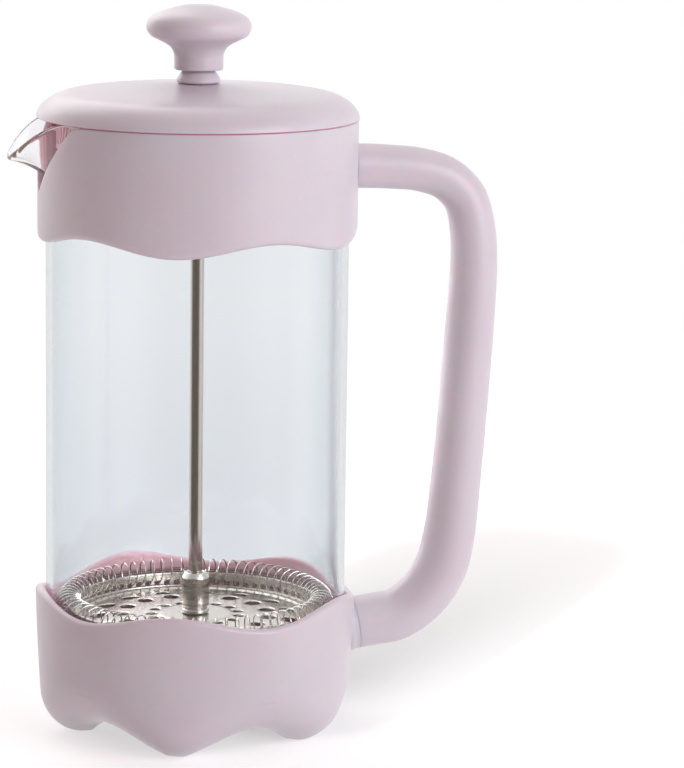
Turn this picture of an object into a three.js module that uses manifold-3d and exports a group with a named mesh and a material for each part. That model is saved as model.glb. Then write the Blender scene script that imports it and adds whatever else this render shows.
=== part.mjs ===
// Piston coffee press of about one litre: a glass beaker in a moulded plastic frame,
// with a lid, a steel plunger and a spring-edged filter. Millimetres, +Z up.
// The beaker's axis is vertical, the spout points to -X and the handle to +X.
import * as THREE from 'three';
import { mergeVertices } from 'three/addons/utils/BufferGeometryUtils.js';
import Module from 'manifold-3d';

const wasm = await Module();
wasm.setup();

const fullTurn = 2 * Math.PI;
const degree = Math.PI / 180;

// Gaps shared by all pieces
const seatGap = 0.3;            // between pieces that touch or are fastened together
const cutOverrun = 4;           // how far a cutting shape runs past the face it cuts
const weldDistance = 0.0005;    // vertices closer than this are one vertex

// Glass beaker
const beakerRadius = 48;
const beakerWall = 2;
const beakerFloor = 3;
const beakerCorner = 8;
const beakerHeight = 175.5;
const spoutReach = 11.8;        // how far the lip stands out of the wall
const spoutDip = 11;            // how far the lip lies below the rim
const spoutDepth = 29;          // height of wall that is drawn out into the spout
const spoutHalfAngle = 27 * degree;

// Base moulding, with its feet in a wave of five
const beakerClearance = 0.4;
const baseWall = 2.9;
const baseTaper = 1.3;          // how much narrower the base is where its feet turn in
const baseHeight = 45.3;
const baseWave = 2.2;
const rimRound = 1.2;
const footCount = 5;
const archHeight = 7.8;
const footCorner = 13.8;        // how far the wall turns in, and how high the turn is at a foot
const archCorner = 17;          // height of the turn between two feet
const footPad = 2.5;            // width of the flat that each foot stands on
const ledgeHeight = 21.2;
const ledgeThickness = 2.5;
const ledgeWidth = 28.4;        // from the bore of the base to the hole in the ledge

// Stub on the base that carries the lower end of the handle
const stubRadius = 8.5;
const stubHeight = 31.7;        // height of its axis at the face of the base
const stubLength = 1.4;         // from the face of the base to the seam
const stubRise = 8.4 * degree;

// Collar round the rim
const collarRise = 0.4;         // above the rim of the beaker
const collarWall = 2.2;
const collarHeight = 36.5;
const collarWave = 2;
const collarRound = 2.4;
const notchDepth = 23.4;
const notchHalfAngle = 31 * degree;
const notchRound = 1.6;

// Handle, one round bar that bends from the collar to the stub
const handleReach = 90.4;       // from the beaker's axis to the bar's centre
const handleDrop = 16;          // from the top of the collar to the bar's centre
const handleRadius = 8;
const handleLead = 6;           // straight stretch that leaves the stub

// Screws and threaded inserts that fasten the handle
const screwRadius = 1.6;
const screwLength = 13;
const screwHeadRadius = 3.4;
const screwHeadHeight = 1.5;
const screwSink = 0.9;          // how far the end of the bottom screw's head lies inside the base's wall
const screwDrive = 1.1;         // radius of the drive socket
const insertWall = 1.2;
const insertLength = 8;
const insertDepth = 2;          // from the end of the handle to the insert

// Lid
const lidOverhang = 0.3;        // past the collar
const lidHeight = 10.5;         // from its lower edge to the boss
const lidWall = 2.4;
const lidSkirtGap = 0.5;        // between the lid's edge and the strainer
const lidHole = 4.5;

// Strainer skirt under the lid
const skirtClearance = 0.6;
const skirtWall = 1.8;
const skirtDepth = 9.5;         // below the rim of the beaker
const skirtPlate = 2;
const slotCount = 9;
const slotWidth = 1.4;
const slotHeight = 5.5;
const slotPitch = 3.4;

// Guide bush on the lid
const bushBase = 6.9;
const bushTop = 5.15;
const bushHeight = 3.8;
const bushSleeve = 4.2;
const bushSleeveLength = 11;

// Knob
const knobRadius = 16.45;
const knobHeight = 20.5;
const knobNeck = 7.75;
const insertNutRadius = 3.6;
const insertNutLength = 11.5;
const insertNutDepth = 0.8;

// Plunger rod, hub and clamping stud
const rodRadius = 2.2;
const hubRadius = 4.4;
const hubHeight = 13.2;
const hubChamfer = 1.8;
const hubNeck = 3.9;
const hubNeckHeight = 1.1;
const studLength = 9.6;
const studHeadRadius = 4.6;
const studHeadHeight = 1.8;

// Ring spring that wipes the glass
const springRadius = 4.1;       // outside radius of the coil
const springGlassGap = 1.1;     // from the coil to the glass, with the lip of the mesh between them
const springWire = 0.9;
const springTurns = 60;
const springTop = 45.8;
const springStepsPerTurn = 8;
const springSides = 5;
const springTrimShare = 0.15;   // part of a turn cut off each end

// Spiral plate: a pan whose wall holds the spring in a row of windows
const panSheet = 0.5;
const panWallHeight = 5.4;
const panDrop = 1.2;            // how far the floor falls towards the wall
const panDropWidth = 9;         // width of the sloping band
const panDropInset = 6;         // from the band to the wall
const windowSize = 1.7;
const panHoleCount = 15;
const panHoleTurn = 3.5 * degree;
const panSmallHole = 1.65;
const panMiddleHole = 2.5;
const panLargeHole = 2.9;

// Mesh screen and cross plate
const meshSheet = 0.4;
const meshLipHeight = 7;
const crossInset = 3.4;         // from the edge of the cross plate to the lip of the mesh
const crossSheet = 0.8;
const crossRim = 3;
const crossHub = 9;
const crossSpokes = 6;
const crossSpokeWidth = 4;

// Facets
const waveSteps = 60;
const collarSteps = 50;
const beakerSteps = 40;
const turnedSteps = 28;
const smallSteps = 14;
const handleSides = 12;
const handleSteps = 26;
const holeSides = 6;
const spoutCrowdShare = 0.35;   // how much closer the facets stand at the spout
const footCrowdShare = 0.2;     // how much closer the facets stand at each foot

// Sizes that follow from the ones above
const beakerBottom = ledgeHeight + seatGap;
const beakerTop = beakerBottom + beakerHeight;
const frameBore = beakerRadius + beakerClearance;
const baseRadius = frameBore + baseWall;
const ledgeOpening = frameBore - ledgeWidth;
const collarRadius = frameBore + collarWall;
const collarTop = beakerTop + collarRise;
const lidRadius = collarRadius + lidOverhang;
const lidBottom = collarTop + seatGap;
const lidTop = lidBottom + lidHeight;
const bushBottom = lidTop + seatGap;
const knobBottom = bushBottom + bushHeight + seatGap;
const springRing = beakerRadius - beakerWall - springGlassGap - springRadius;
const springCentre = springTop - springRadius;
const springPath = springRadius - springWire / 2;
const springBottom = springCentre - springPath;
const panWallTop = springCentre - panSheet;
const panOuterFloor = panWallTop - panWallHeight;
const panCentre = panOuterFloor + panSheet + panDrop;
const hubBottom = panCentre + seatGap;
const hubTop = hubBottom + hubHeight;
const meshTop = panOuterFloor - seatGap;
const crossTop = meshTop - meshSheet - seatGap;
const studHeadTop = crossTop - crossSheet - seatGap;
const studTop = studHeadTop + studLength;
const rodBottom = studTop + seatGap;
const knobBore = insertNutRadius + seatGap;
const knobBoreTop = knobBottom + insertNutDepth + insertNutLength + seatGap;
const rodTop = knobBoreTop - seatGap;
const rodBore = rodRadius + seatGap;
const meshLip = springRing + springRadius + seatGap + meshSheet;
const crossRadius = meshLip - crossInset;
const skirtRadius = beakerRadius - beakerWall - skirtClearance;
const skirtBottom = beakerTop - skirtDepth;
const insertRadius = screwRadius + seatGap + insertWall;

// A closed surface from rows of points: neighbouring rows and columns are joined by
// quads, a looped direction joins its last to its first, and open tube ends get caps.
function skin(rows, { loopRows = false, loopColumns = false, capEnds = false }) {
  const columns = rows[0].length;
  const rowSpans = loopRows ? rows.length : rows.length - 1;
  const columnSpans = loopColumns ? columns : columns - 1;
  const index = [];
  for (let row = 0; row < rowSpans; row += 1) {
    const next = (row + 1) % rows.length;
    for (let column = 0; column < columnSpans; column += 1) {
      const beside = (column + 1) % columns;
      const a = row * columns + column;
      const b = row * columns + beside;
      const c = next * columns + beside;
      const d = next * columns + column;
      index.push(a, b, c, a, c, d);
    }
  }
  if (capEnds) {
    const last = (rows.length - 1) * columns;
    for (let column = 1; column < columns - 1; column += 1) {
      index.push(0, column + 1, column);
      index.push(last, last + column, last + column + 1);
    }
  }
  const geometry = new THREE.BufferGeometry();
  geometry.setFromPoints(rows.flat());
  geometry.setIndex(index);
  return closed(geometry);
}

// Welds a geometry's vertices, drops triangles that have no area left, and turns the
// faces outwards, which a positive enclosed volume shows.
function closed(source) {
  const bare = source.clone();
  bare.deleteAttribute('normal');
  bare.deleteAttribute('uv');
  const welded = mergeVertices(bare, weldDistance);
  const position = welded.getAttribute('position');
  const corner = [new THREE.Vector3(), new THREE.Vector3(), new THREE.Vector3()];
  const kept = [];
  let volume = 0;
  for (let i = 0; i < welded.index.count; i += 3) {
    const triangle = [0, 1, 2].map((k) => welded.index.getX(i + k));
    if (new Set(triangle).size < 3) continue;
    triangle.forEach((vertex, k) => corner[k].fromBufferAttribute(position, vertex));
    volume += corner[0].dot(corner[1].clone().cross(corner[2])) / 6;
    kept.push(...triangle);
  }
  if (volume < 0) kept.reverse();
  welded.setIndex(kept);
  return welded;
}

// A geometry as a solid that can be joined and cut, and back again
function solidOf(geometry) {
  const welded = closed(geometry);
  return new wasm.Manifold(new wasm.Mesh({
    numProp: 3,
    vertProperties: new Float32Array(welded.getAttribute('position').array),
    triVerts: new Uint32Array(welded.index.array),
  }));
}

function geometryOf(solid) {
  const mesh = solid.getMesh();
  const geometry = new THREE.BufferGeometry();
  geometry.setAttribute('position', new THREE.BufferAttribute(mesh.vertProperties, 3));
  geometry.setIndex(new THREE.BufferAttribute(mesh.triVerts, 1));
  return geometry;
}

function cut(geometry, ...tools) {
  return geometryOf(tools.reduce((solid, tool) => solid.subtract(solidOf(tool)), solidOf(geometry)));
}

function join(...geometries) {
  return geometryOf(geometries.map(solidOf).reduce((sum, solid) => sum.add(solid)));
}

// A body turned about Z from [radius, height] points. A profile that leaves the axis
// closes on itself.
function turned(profile, steps = turnedSteps) {
  const points = profile.map(([radius, height]) => new THREE.Vector2(radius, height));
  if (profile[0][0] > 0) points.push(points[0].clone());
  return closed(new THREE.LatheGeometry(points, steps).rotateX(Math.PI / 2));
}

// Points of an arc in a profile, from one angle to another
function arc(centreRadius, centreHeight, radius, from, to, steps) {
  return Array.from({ length: steps + 1 }, (_, i) => {
    const angle = from + (to - from) * i / steps;
    return [centreRadius + radius * Math.cos(angle), centreHeight + radius * Math.sin(angle)];
  });
}

// A point given by its angle about the axis, its radius and its height
function around(angle, radius, height) {
  return new THREE.Vector3(radius * Math.cos(angle), radius * Math.sin(angle), height);
}

// A round bar with one straight axis
function bar(start, direction, length, radius, steps = smallSteps) {
  const geometry = new THREE.CylinderGeometry(radius, radius, length, steps);
  geometry.translate(0, length / 2, 0);
  geometry.applyQuaternion(new THREE.Quaternion().setFromUnitVectors(THREE.Object3D.DEFAULT_UP, direction));
  return geometry.translate(start.x, start.y, start.z);
}

function upright(bottom, top, radius, steps = smallSteps) {
  return bar(new THREE.Vector3(0, 0, bottom), new THREE.Vector3(0, 0, 1), top - bottom, radius, steps);
}

function smooth(share) {
  const s = Math.min(Math.max(share, 0), 1);
  return s * s * (3 - 2 * s);
}

// Angles about the axis, evenly spaced or crowded together at the spout or at each foot
function angles(count, crowdShare = 0, crowds = 1) {
  return Array.from({ length: count }, (_, i) => {
    const turn = fullTurn * i / count;
    return turn + crowdShare * Math.sin(crowds * turn) / crowds;
  });
}

// The wave that the feet, the top of the base and the foot of the collar share:
// 1 at a foot and -1 midway between two feet
function wave(angle) {
  return Math.cos(footCount * (angle - Math.PI));
}

// Base moulding
function baseCup() {
  const padShare = 0.05;
  const archPower = 0.73;
  const rows = [];
  for (const angle of angles(waveSteps, footCrowdShare, footCount)) {
    const top = baseHeight + baseWave * wave(angle);
    const archShare = (1 - wave(angle)) / 2;
    const lift = archHeight * Math.max(0, (archShare - padShare) / (1 - padShare)) ** archPower;
    const cornerRadius = baseRadius - baseTaper - footCorner;
    const cornerHeight = THREE.MathUtils.lerp(footCorner, archCorner, archShare);
    const innerHeight = cornerHeight - baseWall;
    const turnIn = (reach, height, from, to, steps) => arc(cornerRadius, 0, 1, from, to, steps)
      .map(([radius, rise]) => [
        cornerRadius + (radius - cornerRadius) * reach,
        lift + cornerHeight + rise * height,
      ]);
    const innerStart = skirtTurnIn(lift + cornerHeight, innerHeight);
    const lip = baseWall / 2;
    const profile = [
      ...arc(frameBore + lip, top - lip, lip, 0, Math.PI, 3),
      [frameBore, ledgeHeight],
      [ledgeOpening, ledgeHeight],
      [ledgeOpening, ledgeHeight - ledgeThickness],
      ...turnIn(footCorner - baseWall, innerHeight, innerStart, -Math.PI / 2, 2),
      [cornerRadius - footPad, lift + rimRound],
      [cornerRadius - footPad, lift],
      ...turnIn(footCorner, cornerHeight, -Math.PI / 2, 0, 4),
    ];
    rows.push(profile.map(([radius, height]) => around(angle, radius, height)));
  }
  const shell = skin(rows, { loopRows: true, loopColumns: true });
  const inset = bar(stubPoint(-baseWall), stubAxis, baseWall + stubLength, stubRadius, 2 * handleSides);
  const wallCore = upright(0, baseHeight, baseRadius - baseWall / 2, waveSteps);
  const stub = cut(inset, wallCore);
  const socket = bar(stubPoint(-baseWall - cutOverrun), stubAxis,
    cutOverrun + screwSink + screwHeadHeight, screwHeadRadius + seatGap);
  const shank = bar(stubPoint(-baseWall), stubAxis, baseWall + stubLength + cutOverrun, screwRadius + seatGap);
  return cut(join(shell, stub), socket, shank);
}

// Where the inside of a foot meets the underside of the ledge
function skirtTurnIn(centreHeight, innerHeight) {
  const rise = (ledgeHeight - ledgeThickness - centreHeight) / innerHeight;
  return rise >= 0 ? 0 : Math.asin(Math.max(rise, -1));
}

// The stub's axis, which rises a little as it leaves the base
const stubAxis = new THREE.Vector3(Math.cos(stubRise), 0, Math.sin(stubRise));

function stubPoint(distance) {
  return new THREE.Vector3(baseRadius, 0, stubHeight).addScaledVector(stubAxis, distance);
}

// Collar round the rim, open at the spout
function upperCollar() {
  const rows = [];
  for (const angle of angles(collarSteps, spoutCrowdShare)) {
    const fromSpout = Math.abs(angle - Math.PI);
    const slope = collarTop - notchDepth * (1 - fromSpout / notchHalfAngle);
    const blend = Math.hypot(slope - collarTop, notchRound);
    const top = (slope + collarTop - blend + notchRound) / 2 - notchRound / 2;
    const bottom = collarTop - collarHeight - collarWave * wave(angle);
    const lip = collarWall / 2;
    const profile = [
      ...arc(frameBore + lip, top - lip, lip, 0, Math.PI, 3),
      [frameBore, bottom + lip],
      ...arc(collarRadius - lip, bottom + collarRound, lip, -Math.PI / 2, 0, 2)
        .map(([radius, height]) => [radius, bottom + (height - bottom - collarRound + lip) * collarRound / lip]),
    ];
    rows.push(profile.map(([radius, height]) => around(angle, radius, height)));
  }
  const shell = skin(rows, { loopRows: true, loopColumns: true });
  const inside = new THREE.Vector3(frameBore - cutOverrun, 0, handleTop);
  const outward = new THREE.Vector3(1, 0, 0);
  const head = bar(inside, outward, cutOverrun + screwHeadHeight + seatGap, screwHeadRadius + seatGap);
  const shank = bar(inside, outward, cutOverrun + collarWall + cutOverrun, screwRadius + seatGap);
  return cut(shell, head, shank);
}

// Glass beaker. The outer wall is worked out from the angle off the spout and from the
// share of the spout's depth, and the inner wall lies one wall thickness inside it. The
// drawn wall starts at a V that widens up to the rim, as the collar's notch does.
function spoutPoint(angle, share) {
  const off = Math.min(Math.abs(angle - Math.PI) / spoutHalfAngle, 1);
  const draw = (1 + Math.cos(Math.PI * off)) / 2;
  const aboveV = off < 1 ? Math.max(0, 1 - (1 - share) / (1 - off)) : 0;
  const startShare = 0.34;
  const risen = Math.max(0, (aboveV - startShare) / (1 - startShare));
  return new THREE.Vector2(
    beakerRadius + spoutReach * draw ** 0.9 * risen ** 1.1,
    beakerTop - spoutDepth * (1 - share) - spoutDip * draw ** 1.5 * risen ** 1.3,
  );
}

function glassBeaker() {
  const spoutShares = [0, 0.35, 0.55, 0.7, 0.85, 1];
  const slopeShare = 0.02;
  const inner = beakerRadius - beakerWall;
  const rows = [];
  for (const angle of angles(beakerSteps, spoutCrowdShare)) {
    const outside = spoutShares.map((share) => spoutPoint(angle, share));
    const inside = spoutShares.map((share) => {
      const here = spoutPoint(angle, share);
      const along = spoutPoint(angle, share + slopeShare).sub(spoutPoint(angle, share - slopeShare));
      along.normalize();
      return new THREE.Vector2(here.x - beakerWall * along.y, here.y + beakerWall * along.x);
    });
    const profile = [
      [0, beakerBottom],
      ...arc(beakerRadius - beakerCorner, beakerBottom + beakerCorner, beakerCorner, -Math.PI / 2, 0, 3),
      ...outside.map((point) => [point.x, point.y]),
      ...inside.reverse().map((point) => [point.x, point.y]),
      ...arc(inner - beakerCorner, beakerBottom + beakerFloor + beakerCorner, beakerCorner, 0, -Math.PI / 2, 3),
      [0, beakerBottom + beakerFloor],
    ];
    rows.push(profile.map(([radius, height]) => around(angle, radius, height)));
  }
  return skin(rows, { loopRows: true });
}

// Handle. Its path runs between the collar and the stub, as shares of the reach from the
// face of the collar and of the height between the two ends.
const handleTop = collarTop - handleDrop;

function handlePath() {
  const pathShares = [
    [-0.06, 1], [0.111, 0.9995], [0.286, 0.997], [0.538, 0.99], [0.755, 0.97], [0.912, 0.929],
    [0.98, 0.867], [1, 0.79], [0.98, 0.669], [0.947, 0.535], [0.915, 0.408], [0.879, 0.294],
    [0.847, 0.207], [0.775, 0.119], [0.628, 0.057], [0.412, 0.016],
  ];
  const bottom = stubPoint(stubLength).z;
  const points = pathShares.map(([reachShare, heightShare]) => new THREE.Vector3(
    collarRadius + reachShare * (handleReach - collarRadius),
    0,
    bottom + heightShare * (handleTop - bottom),
  ));
  points.push(stubPoint(stubLength + seatGap + handleLead), stubPoint(stubLength + seatGap));
  return new THREE.CatmullRomCurve3(points, false, 'centripetal');
}

function handle() {
  // Thickness along the path, from the collar to the stub, as shares of the radius
  const radiusShares = [0.9, 0.87, 0.87, 0.93, 0.97, 0.99, 1, 1, 1.03, 1.08, 1.07, 1.06];
  const path = handlePath();
  const sideways = new THREE.Vector3(0, 1, 0);
  const rows = [];
  for (let i = 0; i <= handleSteps; i += 1) {
    const share = i / handleSteps;
    const place = share * (radiusShares.length - 1);
    const below = Math.min(Math.floor(place), radiusShares.length - 2);
    const radiusShare = THREE.MathUtils.lerp(radiusShares[below], radiusShares[below + 1], place - below);
    const centre = path.getPointAt(share);
    const across = path.getTangentAt(share).cross(sideways);
    const row = [];
    for (let side = 0; side < handleSides; side += 1) {
      const angle = fullTurn * side / handleSides;
      const reach = handleRadius * radiusShare;
      row.push(centre.clone()
        .addScaledVector(across, reach * Math.cos(angle))
        .addScaledVector(sideways, reach * Math.sin(angle)));
    }
    rows.push(row);
  }
  const grip = skin(rows, { loopColumns: true, capEnds: true });
  const collarFace = upright(beakerBottom, lidTop, collarRadius + seatGap, collarSteps);
  const boreRadius = insertRadius + seatGap;
  const outward = new THREE.Vector3(1, 0, 0);
  const topBore = bar(new THREE.Vector3(frameBore, 0, handleTop), outward,
    collarRadius - frameBore + seatGap + insertBore, boreRadius);
  const bottomBore = bar(stubPoint(stubLength - cutOverrun), stubAxis,
    cutOverrun + seatGap + insertBore, boreRadius);
  return cut(grip, collarFace, topBore, bottomBore);
}

const insertBore = insertDepth + insertLength + insertDepth;

// Threaded insert in the end of the handle, and the screw that holds it, both along +Z
function threadedInsert() {
  const bore = screwRadius + seatGap;
  return turned([[bore, 0], [insertRadius, 0], [insertRadius, insertLength], [bore, insertLength]], smallSteps);
}

function handleScrew() {
  const body = turned([
    [0, 0],
    [screwHeadRadius, 0],
    [screwHeadRadius, screwHeadHeight],
    [screwRadius, screwHeadHeight],
    [screwRadius, screwLength - screwRadius],
    [screwRadius / 2, screwLength],
    [0, screwLength],
  ], smallSteps);
  return cut(body, upright(-cutOverrun, screwHeadHeight / 2, screwDrive, 6));
}

// Lid, a shallow shell whose outline follows shares of its radius and height
function lidCover() {
  const outlineShares = [
    [0.99, 0], [1, 0.03], [0.985, 0.23], [0.95, 0.434], [0.88, 0.64], [0.8, 0.744],
    [0.65, 0.825], [0.4, 0.911], [0.15, 1],
  ];
  const outside = outlineShares.map(([r, h]) => [lidRadius * r, lidBottom + lidHeight * h]);
  const inside = outside.slice(4).reverse().map(([radius, height]) => [radius - lidWall / 2, height - lidWall]);
  return turned([
    ...outside,
    [lidHole, lidTop],
    [lidHole, lidTop - lidWall],
    ...inside,
    [skirtRadius + lidSkirtGap, lidBottom + lidWall],
    [skirtRadius + lidSkirtGap, lidBottom],
  ]);
}

// Strainer: a plate under the lid with a skirt inside the beaker, slotted at the spout
function lidStrainer() {
  const plateTop = lidBottom + lidWall;
  const plateBottom = plateTop - skirtPlate;
  const inner = skirtRadius - skirtWall;
  const body = turned([
    [lidHole, plateTop],
    [lidHole, plateBottom],
    [inner, plateBottom],
    [inner, skirtBottom],
    [skirtRadius, skirtBottom],
    [skirtRadius, plateTop],
  ], turnedSteps);
  const slots = [];
  for (let i = 0; i < slotCount; i += 1) {
    const angle = Math.PI + (i - (slotCount - 1) / 2) * slotPitch / skirtRadius;
    const slot = new THREE.BoxGeometry(skirtWall + cutOverrun, slotWidth, slotHeight);
    slot.translate(skirtRadius - skirtWall / 2, 0, skirtBottom + skirtWall + slotHeight / 2);
    slots.push(slot.rotateZ(angle));
  }
  return cut(body, ...slots);
}

// Guide bush: a small dome on the lid with a sleeve that reaches through it
function guideBush() {
  return turned([
    [rodBore, bushBottom + bushHeight],
    [bushTop, bushBottom + bushHeight],
    [bushBase, bushBottom + seatGap],
    [bushBase - seatGap, bushBottom],
    [bushSleeve, bushBottom],
    [bushSleeve, bushBottom - bushSleeveLength],
    [rodBore, bushBottom - bushSleeveLength],
  ], turnedSteps);
}

// Knob, a mushroom whose outline follows shares of its radius and height
function knob() {
  const neckShare = knobNeck / knobRadius;
  const outlineShares = [
    [neckShare, 0.01], [neckShare, 0.22], [0.5, 0.28], [0.54, 0.34], [0.64, 0.4], [0.79, 0.46], [0.91, 0.51],
    [0.973, 0.57], [1, 0.63], [0.995, 0.7], [0.955, 0.77], [0.87, 0.83], [0.74, 0.88], [0.5, 0.94],
    [0.25, 0.985], [0, 1],
  ];
  return turned([
    [0, knobBoreTop],
    [knobBore, knobBoreTop],
    [knobBore, knobBottom],
    ...outlineShares.map(([r, h]) => [knobRadius * r, knobBottom + knobHeight * h]),
  ], turnedSteps);
}

function knobInsert() {
  const bottom = knobBottom + insertNutDepth;
  const top = bottom + insertNutLength;
  return turned([[rodBore, bottom], [insertNutRadius, bottom], [insertNutRadius, top], [rodBore, top]], smallSteps);
}

function plungerRod() {
  const tip = rodRadius / 3;
  return turned([
    [0, rodBottom],
    [rodRadius, rodBottom],
    [rodRadius, rodTop - tip],
    [rodRadius - tip, rodTop],
    [0, rodTop],
  ], smallSteps);
}

// Hub: a sleeve on the foot of the rod with a bright chamfer and a neck above the plate
function filterHub() {
  return turned([
    [rodBore, hubBottom],
    [hubRadius, hubBottom],
    [hubRadius, hubBottom + hubNeckHeight],
    [hubNeck, hubBottom + hubNeckHeight],
    [hubNeck, hubBottom + 2 * hubNeckHeight],
    [hubRadius, hubBottom + 2 * hubNeckHeight],
    [hubRadius, hubTop - hubChamfer],
    [hubRadius - hubChamfer / 2, hubTop],
    [rodBore, hubTop],
  ], 2 * handleSides);
}

// Stud that clamps cross plate, mesh and spiral plate to the hub
function clampStud() {
  return turned([
    [0, studHeadTop - studHeadHeight],
    [studHeadRadius, studHeadTop - studHeadHeight],
    [studHeadRadius, studHeadTop],
    [rodRadius, studHeadTop],
    [rodRadius, studTop],
    [0, studTop],
  ], smallSteps);
}

// Ring spring: one coil bent into a ring, a helix about a circle
function springPoint(turn) {
  const phase = fullTurn * turn;
  return around(
    fullTurn * turn / springTurns,
    springRing + springPath * Math.cos(phase),
    springCentre + springPath * Math.sin(phase),
  );
}

// Angle about the axis at which a turn of the spring is lowest
function windowAngle(turn) {
  return fullTurn * (turn + 3 / 4) / springTurns;
}

function coilSpring() {
  const first = Math.ceil(springTrimShare * springStepsPerTurn);
  const last = springTurns * springStepsPerTurn - first;
  const rows = [];
  const centres = [];
  for (let step = first; step <= last; step += 1) {
    const turn = step / springStepsPerTurn;
    const centre = springPoint(turn);
    const nearShare = 1 / springStepsPerTurn;
    const tangent = springPoint(turn + nearShare).sub(springPoint(turn - nearShare)).normalize();
    const middle = around(fullTurn * turn / springTurns, springRing, springCentre);
    const outward = centre.clone().sub(middle).normalize();
    outward.addScaledVector(tangent, -outward.dot(tangent)).normalize();
    const sideways = tangent.clone().cross(outward);
    const row = [];
    for (let side = 0; side < springSides; side += 1) {
      const angle = fullTurn * side / springSides;
      row.push(centre.clone()
        .addScaledVector(outward, springWire / 2 * Math.cos(angle))
        .addScaledVector(sideways, springWire / 2 * Math.sin(angle)));
    }
    rows.push(row);
    centres.push(centre);
  }
  console.log('least gap between turns of the ring spring, mm:', leastGap(centres).toFixed(2));
  return skin(rows, { loopColumns: true, capEnds: true });
}

// Least clear distance between points of the wire that lie half a turn or more apart
function leastGap(centres) {
  let least = Infinity;
  for (let i = 0; i < centres.length; i += 1) {
    for (let j = i + springStepsPerTurn / 2; j < centres.length; j += 1) {
      least = Math.min(least, centres[i].distanceTo(centres[j]));
    }
  }
  return least - springWire;
}

// Wall of the pan, a thin ring with one square window under each turn of the spring
function panWall() {
  const heights = [
    panOuterFloor,
    springBottom - windowSize / 2,
    springBottom + windowSize / 2,
    panWallTop,
  ];
  const angles = [];
  for (let turn = 0; turn < springTurns; turn += 1) {
    const half = windowSize / 2 / springRing;
    angles.push(windowAngle(turn) - half, windowAngle(turn) + half);
  }
  const radii = [springRing - panSheet / 2, springRing + panSheet / 2];
  const points = [];
  for (const radius of radii) {
    for (const angle of angles) {
      for (const height of heights) points.push(around(angle, radius, height));
    }
  }
  const at = (face, column, level) => (face * angles.length + column % angles.length) * heights.length + level;
  const index = [];
  const quad = (a, b, c, d) => index.push(a, b, c, a, c, d);
  const windowLevel = 1;
  for (let column = 0; column < angles.length; column += 1) {
    const next = column + 1;
    const isWindow = column % 2 === 0;
    for (let level = 0; level < heights.length - 1; level += 1) {
      if (isWindow && level === windowLevel) continue;
      quad(at(1, column, level), at(1, next, level), at(1, next, level + 1), at(1, column, level + 1));
      quad(at(0, next, level), at(0, column, level), at(0, column, level + 1), at(0, next, level + 1));
    }
    const top = heights.length - 1;
    quad(at(1, column, top), at(1, next, top), at(0, next, top), at(0, column, top));
    quad(at(0, column, 0), at(0, next, 0), at(1, next, 0), at(1, column, 0));
    if (!isWindow) continue;
    const low = windowLevel;
    const high = windowLevel + 1;
    quad(at(1, column, low), at(1, next, low), at(0, next, low), at(0, column, low));
    quad(at(0, column, high), at(0, next, high), at(1, next, high), at(1, column, high));
    quad(at(0, column, low), at(0, column, high), at(1, column, high), at(1, column, low));
    quad(at(1, next, low), at(1, next, high), at(0, next, high), at(0, next, low));
  }
  const geometry = new THREE.BufferGeometry();
  geometry.setFromPoints(points);
  geometry.setIndex(index);
  return closed(geometry);
}

// Spiral plate: a holed floor that falls a little towards the windowed wall
function spiralPlate() {
  const disc = new THREE.Shape();
  disc.absarc(0, 0, springRing, 0, fullTurn, false);
  const ringOfHoles = [
    { ringShare: 0, radius: rodBore / Math.cos(Math.PI / holeSides), count: 1 },
    { ringShare: 0.346, radius: panSmallHole, count: panHoleCount },
    { ringShare: 0.585, radius: panMiddleHole, count: panHoleCount },
    { ringShare: 0.763, radius: panLargeHole, count: panHoleCount },
  ];
  for (const { ringShare, radius, count } of ringOfHoles) {
    const ring = springRing * ringShare;
    for (let i = 0; i < count; i += 1) {
      const angle = panHoleTurn + fullTurn * i / count;
      const hole = new THREE.Path();
      const points = Array.from({ length: holeSides }, (_, k) => {
        const side = fullTurn * k / holeSides;
        return new THREE.Vector2(
          ring * Math.cos(angle) + radius * Math.cos(side),
          ring * Math.sin(angle) + radius * Math.sin(side),
        );
      });
      disc.holes.push(hole.setFromPoints(points));
    }
  }
  const floor = new THREE.ExtrudeGeometry(disc, {
    depth: panSheet,
    bevelEnabled: false,
    curveSegments: springTurns / 2,
  });
  floor.translate(0, 0, panCentre - panSheet);
  const position = floor.getAttribute('position');
  const panDropStart = springRing - panDropInset - panDropWidth;
  for (let i = 0; i < position.count; i += 1) {
    const radius = Math.hypot(position.getX(i), position.getY(i));
    const fall = panDrop * smooth((radius - panDropStart) / panDropWidth);
    position.setZ(i, position.getZ(i) - fall);
  }
  return join(floor, panWall());
}

// Fine mesh screen, a thin dish whose lip stands between the spring and the glass
function meshScreen() {
  const bottom = meshTop - meshSheet;
  return turned([
    [rodBore, bottom],
    [meshLip - meshSheet / 2, bottom],
    [meshLip, bottom + meshSheet / 2],
    [meshLip, bottom + meshLipHeight],
    [meshLip - meshSheet, bottom + meshLipHeight],
    [meshLip - meshSheet, meshTop],
    [rodBore, meshTop],
  ], beakerSteps);
}

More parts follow.
